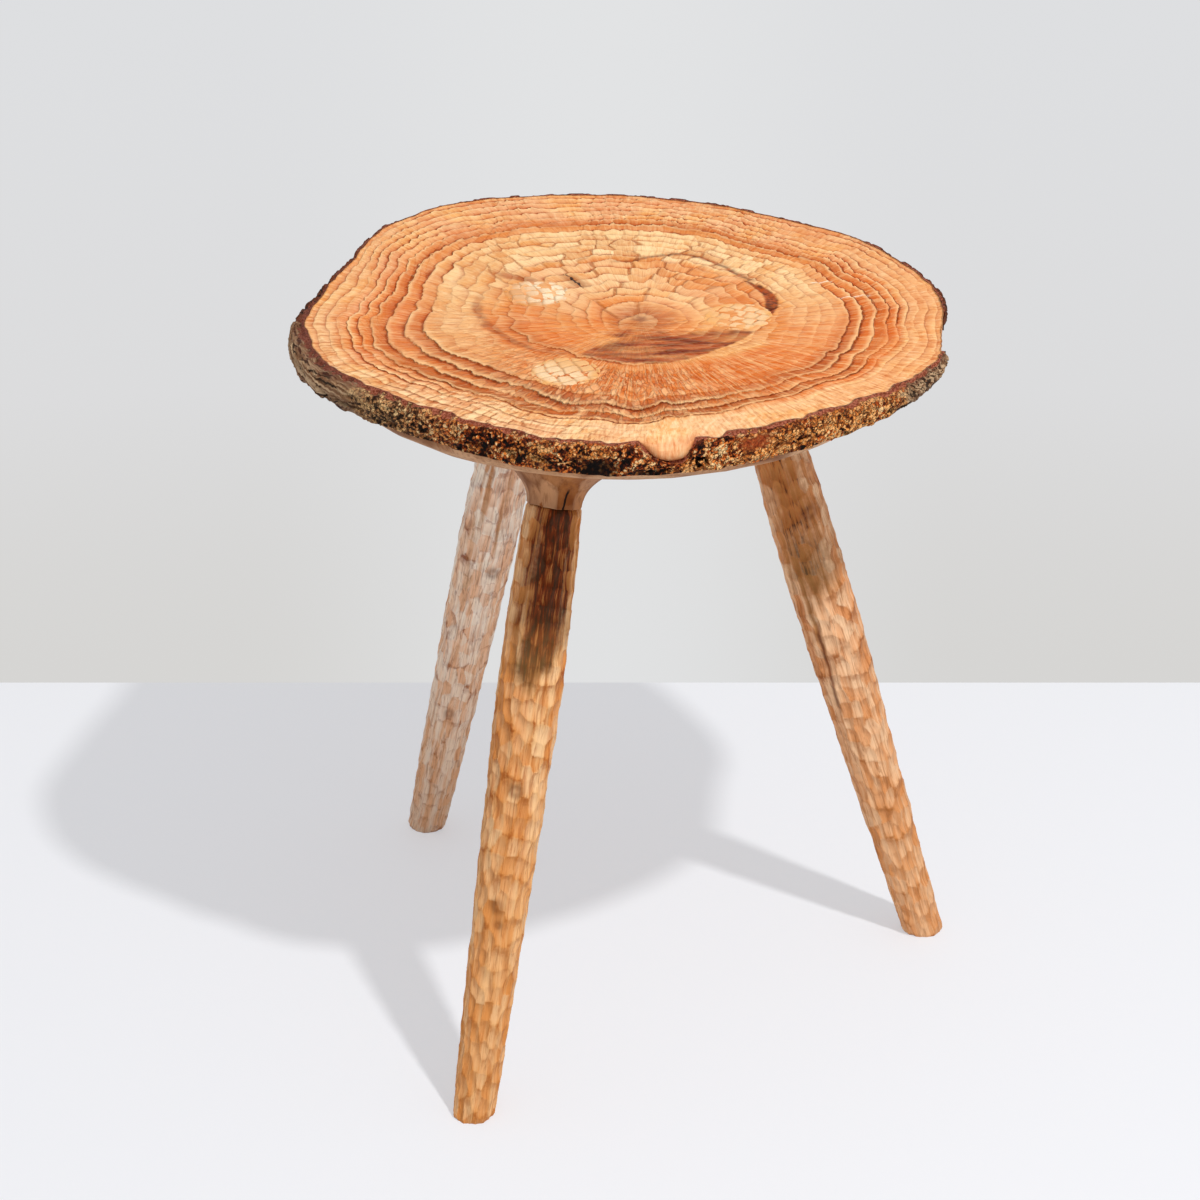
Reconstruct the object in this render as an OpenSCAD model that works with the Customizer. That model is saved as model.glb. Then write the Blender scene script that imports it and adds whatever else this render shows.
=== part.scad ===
// Three-legged stool: a slice of a tree trunk as seat, with its bark left on.
// The pith of the trunk is the centre of the seat's shape; angles run from +X, anticlockwise.

/* [Seat] */
// Height of the seat's rim above the floor
seat_height = 450; // [400:5:500]
// Width of the wood from its left tip to its right tip
seat_span = 390; // [360:5:430]
// Thickness of the seat at its rim
rim_thick = 20; // [14:1:26]
// Thickness of the seat in the middle, between the bosses
seat_thick = 58; // [52:1:64]
// Depth of the shallow hollow carved in the top
dish = 3; // [1:0.5:5]
// Distance from the rim to the start of the rounded underside
belly_inset = 8; // [5:1:20]
// How much higher the rim's lower edge lies at the right end
right_lift = 8; // [4:0.5:10]
// Reach of the wood lip at the front, past the rim
lip_reach = 6; // [4:0.5:8]
// Thickness of the wood lip at the front
lip_thick = 9; // [6:0.5:12]
// Drop of the lip's top below the rim
lip_drop = 3; // [1:0.5:4]

/* [Bark] */
// Thickness of the rough bark along the front
front_bark = 6; // [3:0.5:9]
// Thickness of the smooth grey bark plates at the left and the right
plate_bark = 5.5; // [3:0.5:9]
// How much thicker the bark is where it bulges out at the left end
left_bulge = 6.5; // [3:0.5:8]
// Thickness of the bark along the left side
left_bark = 4; // [2.5:0.5:8]
// Thickness of the thin bark along the back
back_bark = 2.5; // [1.5:0.5:6]
// Height of the ridges on the bark's outer face
bark_ridge = 0.8; // [0:0.1:1.4]
// How far the bark hangs below the rim's lower edge
bark_hang = 0.5; // [0:0.25:2]
// Gap between the bark and the wood
bark_fit = 0.2; // [0.1:0.05:0.3]
// Gap between the ends of two pieces of bark
bark_split = 0.3; // [0.1:0.1:1]

/* [Legs] */
// Direction of the front leg's foot from the middle of the legs
front_turn = -113.5; // [-118:0.1:-109]
// Direction of the right leg's foot
right_turn = 7.4; // [3:0.1:12]
// Direction of the left leg's foot
left_turn = 127.3; // [123:0.1:132]
// Reach of the front foot from the middle of the legs
front_foot = 211; // [190:1:230]
// Reach of the right foot
right_foot = 211; // [190:1:230]
// Reach of the left foot
left_foot = 209; // [190:1:230]
// Reach of the front leg's axis where it leaves the top of the seat
front_crown = 75; // [65:1:85]
// Reach of the right leg's axis at the top of the seat
right_crown = 80; // [70:1:90]
// Reach of the left leg's axis at the top of the seat
left_crown = 68; // [60:1:80]
// Turn of each leg's crown past its foot
crown_lead = 3.3; // [0:0.1:6]
// How far the middle of the legs lies to the left of the pith
legs_left = 15; // [5:1:25]
// How far the middle of the legs lies behind the pith
legs_behind = 3; // [0:1:14]
// How far the front leg's shoulder stands to the right of its tenon
front_sway = 3; // [0:0.5:3.5]
// How far the left leg's shoulder stands to the right of its tenon
left_sway = 1.5; // [0:0.5:3.5]
// Width of a leg at its shoulder
shoulder_d = 35; // [34:0.5:36]
// Width of a leg at its foot
foot_d = 27; // [24:0.5:32]
// Width of the front leg where it swells
front_swell = 41; // [38:0.5:44]
// Width of the right leg where it swells
right_swell = 40.5; // [38:0.5:44]
// Width of the left leg where it swells
left_swell = 39.5; // [37:0.5:43]
// Depth of the gouge marks on the legs
gouge_depth = 0.8; // [0.3:0.1:1.2]
// Length of one gouge mark
gouge_length = 17; // [14:1:24]

/* [Joints] */
// Distance from the rim's top down to the shoulder joint, measured on the leg's axis
joint_drop = 80.5; // [76:0.5:90]
// Width of the boss at its lower rim
boss_d = 36; // [36:0.5:40]
// How far the boss flares out on its way up to the underside
boss_flare = 46; // [36:1:48]
// Diameter of the tenon
tenon_d = 25; // [20:0.5:27]
// Gap round the tenon, and at the shoulder
tenon_fit = 0.1; // [0.05:0.05:0.2]
// Diameter of the plug over each tenon
plug_d = 42; // [34:0.5:46]
// Depth of the plug on the leg's axis
plug_depth = 12; // [10:0.5:16]
// Gap round the plug
plug_fit = 0.1; // [0.05:0.05:0.2]
// Width of the wedge at the tenon's end
wedge_w = 4; // [3:0.5:6]
// Width of the wedge at its tip
wedge_tip = 1; // [0.5:0.5:2]
// Length of the wedge
wedge_length = 26; // [18:1:34]
// Gap round the wedge in its kerf
wedge_fit = 0.1; // [0.05:0.05:0.2]

/* [Hidden] */

// Reach of the rim from the pith every rim_step degrees, in percent of half the seat's span
rim_share = [96.7, 100, 101, 102.7, 102, 106, 110, 114.5, 119, 115.3, 105, 102,
    103, 100, 94.5, 89.5, 88.5, 90, 90, 88, 86.5, 88.5, 93.2, 97];
rim_step = 360 / len(rim_share);
facet_step = 3;
// Middle of the seat's outline, seen from the pith
belly_centre = [-0.018 * seat_span, 0.058 * seat_span];
belly_r = seat_span / 2 - belly_inset;
blank_r = 0.7 * seat_span;
rim_bottom = seat_height - rim_thick;
belly_drop = seat_thick - rim_thick;
belly_low = rim_bottom - belly_drop;
belly_power = 2.5;
round_facets = 96;
centre_share = 0.05;
// Where the rim's lower edge lies highest, and where the bark bulges most
lift_turn = 350;
lift_power = 8;
bulge_turn = 197;
bulge_power = 12;
// Outer face of the bark from its lower to its upper edge: share of the height, share of the thickness
bark_profile = [[0, 0.6], [0.25, 1], [0.6, 1.12], [0.9, 1.05], [1, 0.85]];
bark_crest = 1.12;

// Directions at which the bark breaks
left_rear_break = 134;
rear_break = 128.5;
back_break = 103;
chip_break = 22;
bare_from = 347;
bare_to = 7;
plate_right_break = 329;
lip_from = 270.5;
lip_to = 281.5;
plate_left_break = 201;
left_break = 179;
lip_root = 5;

leg_sides = 16;
boss_sides = 32;
boss_rings = 8;
boss_sweep = 80;
boss_root = 10;
boss_sink = 1.5;
swell_at = 0.3;
taper_power = 1.15;
cut_below = 6;
over = 1;

function wrap(values, k) = values[(k + 2 * len(values)) % len(values)];
// Smooth curve through evenly spaced values, at the place given
function smooth(values, place) =
    let (i = floor(place), u = place - i)
    let (a = wrap(values, i - 1), b = wrap(values, i), c = wrap(values, i + 1), d = wrap(values, i + 2))
    b + u / 2 * (c - a + u * (2 * a - 5 * b + 4 * c - d + u * (3 * (b - c) + d - a)));
function rim_r(a) = seat_span / 200 * smooth(rim_share, a / rim_step);
function rim_point(a, out) = (rim_r(a) + out) * [cos(a), sin(a)];
function ridge(a) = bark_ridge * (sin(37 * a) + sin(61 * a + 50)) / 2;
function stops(from, to) = concat([from],
    [for (k = [ceil((from + 0.5) / facet_step) : floor((to - 0.5) / facet_step)]) k * facet_step], [to]);
// Height of the rim's lower edge, and thickness of the bark, in a direction
function rim_low(a) = rim_bottom + right_lift * pow(max(0, cos(a - lift_turn)), lift_power);
function bark_thick(a, thick) = thick + left_bulge * pow(max(0, cos(a - bulge_turn)), bulge_power);
function bark_out(a, thick, share) = bark_fit + bark_thick(a, thick) * share + ridge(a);
function bark_outer(from, to, thick) = [for (a = stops(from, to)) rim_point(a, bark_out(a, thick, bark_crest))];
function raised(p, z) = [p[0], p[1], z];
function bark_section(a, thick, top) = let (low = rim_low(a) - bark_hang)
    concat([raised(rim_point(a, bark_fit), low)],
        [for (s = bark_profile) raised(rim_point(a, bark_out(a, thick, s[1])), low + (top - low) * s[0])],
        [raised(rim_point(a, bark_fit), top)]);
function flip(points) = [for (k = [len(points) - 1 : -1 : 0]) points[k]];

turns = [front_turn, right_turn, left_turn];
feet = [front_foot, right_foot, left_foot];
crowns = [front_crown, right_crown, left_crown];
swells = [front_swell, right_swell, left_swell];
sways = [front_sway, 0, left_sway];
function spot(turn, reach, z) = [reach * cos(turn) - legs_left, reach * sin(turn) + legs_behind, z];
function foot(k) = spot(turns[k], feet[k], 0);
function crown(k) = spot(turns[k] + crown_lead, crowns[k], seat_height);
function axis(k) = (crown(k) - foot(k)) / norm(crown(k) - foot(k));
function lean(k) = acos(axis(k)[2]);
function inward(k) = atan2(axis(k)[1], axis(k)[0]);
function on_axis(k, z) = foot(k) + axis(k) * z / axis(k)[2];
function along(k, z) = z / axis(k)[2];
joint_z = seat_height - joint_drop;
function tenon_top(k) = along(k, seat_height) - plug_depth;

// Point of a ring round the leg's axis: the ring's plane is tipped by tip degrees from level
function ring_point(k, centre, r, tip, b) = centre
    - r * cos(b) * [cos(tip) * cos(inward(k)), cos(tip) * sin(inward(k)), -sin(tip)]
    + r * sin(b) * [-sin(inward(k)), cos(inward(k)), 0];
// The same point slid along the leg's axis until it lies at height z
function slid(k, p, z) = p + axis(k) * (z - p[2]) / axis(k)[2];

// Moves a point of the leg or the boss sideways by a share of the leg's sway
function swayed(k, p, share) = p + [sways[k] * share, 0, 0];

function leg_r(k, t) = t < swell_at
    ? (shoulder_d + (swells[k] - shoulder_d) * sin(90 * t / swell_at)) / 2
    : (swells[k] + (foot_d - swells[k]) * pow((t - swell_at) / (1 - swell_at), taper_power)) / 2;
function leg_length(k) = along(k, joint_z) - tenon_fit;
function leg_rings(k) = round(2 * leg_length(k) / gouge_length);
function leg_ring(k, i) = let (t = i / leg_rings(k), s = leg_length(k) * (1 - t) + (i == 0 ? over : 0))
    [for (c = [0 : leg_sides - 1]) ring_point(k, swayed(k, foot(k) + axis(k) * s, 1 - t),
        leg_r(k, t) - gouge_depth * ((i + c) % 2), lean(k), 360 * c / leg_sides)];
function sole(k, z) = [for (c = [0 : leg_sides - 1])
    slid(k, ring_point(k, foot(k), foot_d / 2 - gouge_depth * (c % 2), lean(k), 360 * c / leg_sides), z)];
function leg_points(k) = concat(sole(k, -cut_below), sole(k, cut_below),
    [for (i = [leg_rings(k) - 2 : -1 : 0]) each leg_ring(k, i)]);

// Height of the rounded underside at a place, and the boss that grows out of it
function belly_z(p) = let (u = min(1, norm([p[0], p[1]] - belly_centre) / belly_r))
    belly_low + (rim_low(atan2(p[1], p[0])) - belly_low) * (1 - sqrt(1 - pow(u, belly_power)));
function boss_point(k, sweep, b) =
    let (low = ring_point(k, swayed(k, on_axis(k, joint_z), 1), boss_d / 2, lean(k), b))
    let (end = ring_point(k, swayed(k, on_axis(k, belly_low), 1), boss_d / 2 + boss_flare, 0, b))
    let (shift = on_axis(k, belly_low) - on_axis(k, joint_z), out = ring_point(k, [0, 0, 0], 1, 0, b))
    low + [shift[0], shift[1], belly_z(end) + boss_sink - low[2]] * sin(sweep) / sin(boss_sweep)
    + boss_flare * out * (1 - cos(sweep)) / (1 - cos(boss_sweep));
function boss_ring(k, sweep, lift) =
    [for (c = [0 : boss_sides - 1]) boss_point(k, sweep, 360 * c / boss_sides) + [0, 0, lift]];
function boss_points(k) = concat([for (i = [0 : boss_rings]) each boss_ring(k, boss_sweep * i / boss_rings, 0)],
    boss_ring(k, boss_sweep, boss_root));

// Faces of a closed tube of rings, from its first ring to its last
function tube_faces(sides, rings) = concat([flip([for (c = [0 : sides - 1]) c])],
    [for (i = [0 : rings - 2], c = [0 : sides - 1]) each
        let (p = i * sides + c, q = i * sides + (c + 1) % sides)
        [[p, q, q + sides], [p, q + sides, p + sides]]],
    [[for (c = [0 : sides - 1]) (rings - 1) * sides + c]]);

// The part stands with the middle of its bounding box over the origin
edge_points = concat(bark_outer(left_rear_break, left_break, left_bark),
    bark_outer(left_break, plate_left_break, plate_bark), bark_outer(chip_break, back_break, back_bark),
    bark_outer(back_break, rear_break, back_bark), bark_outer(plate_left_break, lip_from, front_bark),
    bark_outer(bare_to, chip_break, left_bark), [for (k = [0 : 2]) each sole(k, 0)]);
edge_x = [for (p = edge_points) p[0]];
edge_y = [for (p = edge_points) p[1]];
middle = [(min(edge_x) + max(edge_x)) / 2, (min(edge_y) + max(edge_y)) / 2, 0];

module placed() {
    translate(-middle) children();
}

module on_leg(k) {
    translate(foot(k)) rotate([0, lean(k), inward(k)]) children();
}

// Place at a reach from the middle of the seat's outline, for facet c
function round_spot(r, c) = belly_centre + r * [cos(360 * c / round_facets), -sin(360 * c / round_facets)];
function round_ring(r, z) = [for (c = [1 : round_facets]) raised(round_spot(r, c), z)];
function under_ring(r) = [for (c = [1 : round_facets])
    let (p = round_spot(r, c)) raised(p, belly_z(p))];
top_rings = [for (v = [1 : -0.25 : 0.25]) round_ring(belly_r * v, seat_height - dish * (1 - v * v))];
blank_rings = concat([round_ring(belly_r * centre_share, belly_low)],
    [for (s = [10 : 10 : 90]) under_ring(belly_r * pow(sin(s), 2 / belly_power))],
    [under_ring(blank_r), round_ring(blank_r, seat_height)], top_rings,
    [round_ring(belly_r * centre_share, seat_height - dish)]);

// Everything between the hollowed top and the rounded underside, before the rim is cut
module blank() {
    polyhedron([for (ring = blank_rings) each ring], tube_faces(round_facets, len(blank_rings)));
}

module rim_prism() {
    translate([0, 0, rim_bottom - 2 * belly_drop]) linear_extrude(2 * belly_drop + rim_thick + over)
        polygon([for (a = [0 : facet_step : 360 - facet_step]) rim_point(a, 0)]);
}

module lip() {
    crest = stops(lip_from, lip_to);
    outer = [for (a = crest) rim_point(a, lip_reach * sqrt(sin(180 * (a - lip_from) / (lip_to - lip_from))))];
    inner = [for (a = crest) rim_point(a, -lip_root)];
    translate([0, 0, seat_height - lip_drop - lip_thick]) linear_extrude(lip_thick)
        polygon(concat(outer, flip(inner)));
}

module boss(k) {
    polyhedron(boss_points(k), tube_faces(boss_sides, boss_rings + 2));
}

module mortise(k) {
    on_leg(k) translate([0, 0, along(k, joint_z) - over - boss_d])
        cylinder(d = tenon_d + 2 * tenon_fit, h = tenon_top(k) - along(k, joint_z) + 2 * over + boss_d, $fn = 48);
    on_leg(k) translate([0, 0, tenon_top(k)])
        cylinder(d = plug_d, h = plug_depth + plug_d, $fn = 64);
}

module seat_slab() {
    color("#dd9a5b") placed() difference() {
        union() {
            intersection() {
                rim_prism();
                blank();
            }
            lip();
            for (k = [0 : 2]) boss(k);
        }
        for (k = [0 : 2]) mortise(k);
    }
}

// A stretch of bark against the rim, between two directions
module bark_strip(from, to, thick, drop) {
    end = bark_split / (PI * seat_span) * 360;
    sections = [for (a = stops(from + end / 2, to - end / 2)) bark_section(a, thick, seat_height - drop)];
    polyhedron([for (section = sections) each section], tube_faces(len(sections[0]), len(sections)));
}

module bark_left() {
    color("#4b2f22") placed() bark_strip(left_rear_break, left_break, left_bark, 0);
}

module bark_plate_left() {
    color("#6f6350") placed() bark_strip(left_break, plate_left_break, plate_bark, 0);
}

module bark_front() {
    color("#6a4322") placed() bark_strip(plate_left_break, lip_from, front_bark, 0);
}

module bark_lip() {
    color("#43261a") placed() bark_strip(lip_from, lip_to, front_bark, lip_drop + lip_thick + bark_fit);
}

module bark_front_right() {
    color("#74471f") placed() bark_strip(lip_to, plate_right_break, front_bark, 0);
}

module bark_plate_right() {
    color("#6b5a4a") placed() bark_strip(plate_right_break, bare_from, plate_bark, 0);
}

module bark_chip_right() {
    color("#4a2c20") placed() bark_strip(bare_to, chip_break, left_bark, 0);
}

module bark_back_right() {
    color("#3f271c") placed() bark_strip(chip_break, back_break, back_bark, 0);
}

module bark_back_left() {
    color("#3f271c") placed() bark_strip(back_break, rear_break, back_bark, 0);
}

module bark_chip_rear() {
    color("#3a2219") placed() bark_strip(rear_break, left_rear_break, back_bark, 0);
}

// Wedge in the tenon's end, with a gap all round when it is the kerf's cutter
module wedge_shape(k, gap) {
    end = tenon_top(k) - tenon_fit;
    on_leg(k) translate([0, 0, end]) rotate([90, 0, 0])
        linear_extrude(tenon_d + 2 * gap, center = true)
            polygon([[-wedge_w / 2 - gap, gap], [wedge_w / 2 + gap, gap],
                [wedge_tip / 2 + gap, -wedge_length - gap], [-wedge_tip / 2 - gap, -wedge_length - gap]]);
}

module tenon_rod(k) {
    on_leg(k) translate([0, 0, leg_length(k) - over])
        cylinder(d = tenon_d, h = tenon_top(k) - tenon_fit - leg_length(k) + over, $fn = 48);
}

// Cutter that squares the shoulder off
module above_shoulder(k) {
    on_leg(k) translate([0, 0, leg_length(k)]) cylinder(d = 2 * shoulder_d, h = shoulder_d, $fn = 48);
}

module below_floor(k) {
    translate([foot(k)[0], foot(k)[1], -foot_d]) cube([4 * foot_d, 4 * foot_d, 2 * foot_d], center = true);
}

module leg(k) {
    union() {
        difference() {
            polyhedron(leg_points(k), tube_faces(leg_sides, leg_rings(k) + 1));
            above_shoulder(k);
            below_floor(k);
        }
        difference() {
            tenon_rod(k);
            wedge_shape(k, wedge_fit);
        }
    }
}

module wedge(k) {
    intersection() {
        wedge_shape(k, 0);
        tenon_rod(k);
    }
}

module plug(k) {
    intersection() {
        on_leg(k) translate([0, 0, tenon_top(k)])
            cylinder(d = plug_d - 2 * plug_fit, h = plug_depth + plug_d, $fn = 64);
        blank();
    }
}

module leg_front() {
    color("#c98f58") placed() leg(0);
}

module leg_right() {
    color("#c08c5c") placed() leg(1);
}

module leg_left() {
    color("#c79a74") placed() leg(2);
}

module wedge_front() {
    color("#6b4a2e") placed() wedge(0);
}

module wedge_right() {
    color("#6b4a2e") placed() wedge(1);
}

module wedge_left() {
    color("#6b4a2e") placed() wedge(2);
}

module plug_front() {
    color("#efd9a9") placed() plug(0);
}

module plug_right() {
    color("#e8c48c") placed() plug(1);
}

module plug_left() {
    color("#f3e2bd") placed() plug(2);
}

seat_slab();
bark_left();
bark_plate_left();
bark_front();
bark_lip();
bark_front_right();
bark_plate_right();
bark_chip_right();
bark_back_right();
bark_back_left();
bark_chip_rear();
leg_front();
leg_right();
leg_left();
wedge_front();
wedge_right();
wedge_left();
plug_front();
plug_right();
plug_left();
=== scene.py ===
import math
import bpy
import numpy as np
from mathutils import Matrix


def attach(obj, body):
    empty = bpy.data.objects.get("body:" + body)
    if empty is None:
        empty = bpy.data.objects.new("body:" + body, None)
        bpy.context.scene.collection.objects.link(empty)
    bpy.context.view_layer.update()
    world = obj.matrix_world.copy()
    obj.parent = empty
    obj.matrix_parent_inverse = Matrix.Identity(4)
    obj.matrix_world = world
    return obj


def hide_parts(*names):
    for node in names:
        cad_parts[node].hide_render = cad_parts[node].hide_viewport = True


# A carved three-legged stool: a slice of trunk with its bark on, over three gouged legs.
# Shapes are worked out in millimetres about the pith of the trunk, as in the part's source,
# with turns in degrees from +X, anticlockwise. They are set down in metres, in the frame.
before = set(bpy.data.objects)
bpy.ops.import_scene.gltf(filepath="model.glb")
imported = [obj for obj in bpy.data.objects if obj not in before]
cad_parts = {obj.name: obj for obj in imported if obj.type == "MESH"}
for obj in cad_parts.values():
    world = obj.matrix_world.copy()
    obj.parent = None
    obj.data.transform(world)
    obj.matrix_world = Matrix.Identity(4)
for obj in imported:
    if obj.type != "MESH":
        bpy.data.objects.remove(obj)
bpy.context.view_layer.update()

PITH = (1.66, -8.23)
SEAT_TOP = 450
RIM_BOTTOM = 430
BELLY_LOW = 392
DISH = 3
SEAT_SPAN = 390
BELLY_MIDDLE = (-7.02, 22.62)
BELLY_REACH = 187
BELLY_POWER = 2.5
RIM_SHARE = [96.7, 100, 101, 102.7, 102, 106, 110, 114.5, 119, 115.3, 105, 102,
             103, 100, 94.5, 89.5, 88.5, 90, 90, 88, 86.5, 88.5, 93.2, 97]
RIGHT_LIFT = 8
LIFT_TURN = 350
LIFT_POWER = 8
LEFT_BULGE = 6.5
BULGE_TURN = 197
BULGE_POWER = 12
LIP_FROM = 270.5
LIP_TO = 281.5
LIP_REACH = 6
LIP_DROP = 3
LIP_THICK = 9
LIP_LOWEST = 0.62
BARK_HANG = 0.5
BARK_RIDGE = 0.25
BARK_FIT = 0.2
BARK_PROFILE = ((0, 0.25, 0.6, 0.9, 1), (0.6, 1, 1.12, 1.05, 0.85))
JOINT_HEIGHT = 369.5
BOSS_WIDTH = 36
BOSS_FLARE = 46
BOSS_SWEEP = 80
BOSS_SINK = 1.5
SHOULDER_WIDTH = 35
FOOT_WIDTH = 27
SWELL_AT = 0.3
TAPER_POWER = 1.15
TENON_WIDTH = 25
PLUG_WIDTH = 41.8
PLUG_DEPTH = 12
LEGS_LEFT = 15
LEGS_BEHIND = 3
CROWN_LEAD = 3.3
KNOB_TURN = 286.5
KNOB_SPREAD = 1.6
# Of each leg: direction and reach of its foot, reach of its crown, width of the swell, sway
LEGS = {"front": (-113.5, 211, 75, 41, 3), "right": (7.4, 211, 80, 40.5, 0),
        "left": (127.3, 209, 68, 39.5, 1.5)}


def chance(i, j, k, seed):
    """Random number from 0 to 1 for each corner of a lattice, from its three whole numbers mixed
    by multiplying and by folding the high bits onto the low ones."""
    mixed = (i * 73856093) ^ (j * 19349663) ^ (k * 83492791)
    mixed = (mixed + seed * 40503) & 0xFFFFFFFF
    for _ in range(2):
        mixed = ((mixed ^ (mixed >> 15)) * 73244475) & 0xFFFFFFFF
    return (mixed ^ (mixed >> 16)) / 0xFFFFFFFF


def noise(points, size, seed):
    """Smooth noise from -1 to 1: random numbers at the corners of a lattice of the given size,
    blended along each edge by the step u * u * (3 - 2 * u)."""
    place = points / size
    low = np.floor(place)
    u = place - low
    low = low.astype(np.int64)
    u = u * u * (3 - 2 * u)
    total = 0
    for corner in range(8):
        step = [(corner >> axis) & 1 for axis in range(3)]
        share = 1
        for axis in range(3):
            share = share * (u[..., axis] if step[axis] else 1 - u[..., axis])
        total = total + share * chance(*(low[..., axis] + step[axis] for axis in range(3)), seed)
    return 2 * total - 1


def roughness_noise(points, size, layers, seed):
    """Noise of several sizes, each half as large and half as strong as the one before."""
    return sum(noise(points, size / 2 ** n, seed + n) / 2 ** n for n in range(layers)) / 1.5


def scoops(across, along, columns, size, jitter, seed):
    """Gouge marks scattered one to each box of a lattice that closes after some columns. Gives the
    depth of the deepest bell exp(-(u / wide) ** 2 - (v / long) ** 2) at each place, the place along
    it from its middle, and a random number for the mark."""
    low_u = np.floor(across).astype(np.int64)
    low_v = np.floor(along).astype(np.int64)
    depth, offset, mark = (np.zeros(across.shape) for _ in range(3))
    for box in range(15):
        column = (low_u + box % 3 - 1) % columns
        row = low_v + box // 3 - 2
        none = column * 0
        astray = [wide * (chance(column, row, none, seed + n) - 0.5) for n, wide in enumerate(jitter)]
        u = across - low_u - (box % 3 - 0.5) - astray[0]
        v = along - row - chance(column, none, none, seed + 9) - astray[1]
        bell = np.exp(-(u / size[0]) ** 2 - (v / size[1]) ** 2)
        deeper = bell > depth
        offset = np.where(deeper, v, offset)
        mark = np.where(deeper, chance(column, row, none, seed + 2), mark)
        depth = np.where(deeper, bell, depth)
    return depth, offset, mark


def crystals(points, size, seed):
    """Grains scattered one to each box of a lattice: the distance to the nearest one, in sizes, and
    a random number for the grain."""
    place = points / size
    low = np.floor(place).astype(np.int64)
    nearest = np.full(place.shape[:-1], 9.0)
    grain = np.zeros(place.shape[:-1])
    for box in range(27):
        cell = low + np.array([box % 3 - 1, box // 3 % 3 - 1, box // 9 - 1])
        cell = [cell[..., axis] for axis in range(3)]
        apart = [place[..., axis] - cell[axis] - chance(*cell, seed + axis) for axis in range(3)]
        distance = sum(way ** 2 for way in apart)
        closer = distance < nearest
        grain = np.where(closer, chance(*cell, seed + 5), grain)
        nearest = np.where(closer, distance, nearest)
    return np.sqrt(nearest), grain


def ease(value, low, high):
    """0 below low, 1 above high, and a smooth step between."""
    u = np.clip((value - low) / (high - low), 0, 1)
    return u * u * (3 - 2 * u)


def max_of(fields, like):
    """The largest of several fields at each place."""
    return np.max([np.broadcast_to(field, like.shape) for field in fields], axis=0)


def grid(down, along):
    """Places down the rows and along the columns of a grid."""
    return np.meshgrid(down, along, indexing="ij")


def spot(reach, turn, height):
    """Points at a reach from the pith, in a direction in degrees and at a height."""
    radians = np.radians(turn)
    x, y = reach * np.cos(radians), reach * np.sin(radians)
    return np.stack([x, y, np.broadcast_to(height, x.shape)], -1)


def toward(turn, middle, spread):
    """1 in the direction middle, falling like a bell to a third at spread degrees on either side."""
    away = (turn - middle + 180) % 360 - 180
    return np.exp(-(away / spread) ** 2)


def rim_reach(turn):
    """Reach of the wood from the pith: a smooth curve through RIM_SHARE, each value tied to its
    neighbours by a cubic with matching slopes."""
    values = np.array(RIM_SHARE, float)
    place = turn / 360 * len(values)
    i = np.floor(place).astype(int)
    u = place - i
    a, b, c, d = (values[(i + k) % len(values)] for k in (-1, 0, 1, 2))
    curve = b + u / 2 * (c - a + u * (2 * a - 5 * b + 4 * c - d + u * (3 * (b - c) + d - a)))
    return SEAT_SPAN / 200 * curve


def wood_edge(turn):
    """How far the wood strays past its smooth rim: the growth under the bark is uneven, most of all
    in front, and there is a knob beside the tongue."""
    way = spot(SEAT_SPAN / 2 - 5, turn, 0)
    south = -np.sin(np.radians(turn))
    amount = 0.6 + 0.15 * south + 0.6 * np.maximum(0, south)
    uneven = amount * (1.9 * noise(way, 12, 61) + 1.1 * noise(way, 4.5, 62))
    return uneven + 2 * np.exp(-((turn - KNOB_TURN) / KNOB_SPREAD) ** 4)


def lip_sag(turn):
    """How far the tongue of wood in front covers the bark, from 0 to 1: 1 - u ** 2.2, with u the
    share of the way from its lowest place to either end."""
    at = np.clip((turn - LIP_FROM) / (LIP_TO - LIP_FROM), 0, 1)
    off = np.where(at < LIP_LOWEST, 1 - at / LIP_LOWEST, (at - LIP_LOWEST) / (1 - LIP_LOWEST))
    return 1 - off ** 2.2


def bark_top(turn):
    """Height of the bark's top edge, which dips round the tongue."""
    return SEAT_TOP - (LIP_DROP + LIP_THICK) * lip_sag(turn)


def rim_low(turn):
    """Height of the rim's lower edge: it lies higher round the right end."""
    return RIM_BOTTOM + RIGHT_LIFT * np.maximum(0, np.cos(np.radians(turn - LIFT_TURN))) ** LIFT_POWER


def from_middle(x, y):
    """Distance from the middle of the bowl and the belly, in shares of their reach."""
    return np.hypot(x - BELLY_MIDDLE[0], y - BELLY_MIDDLE[1]) / BELLY_REACH


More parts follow.
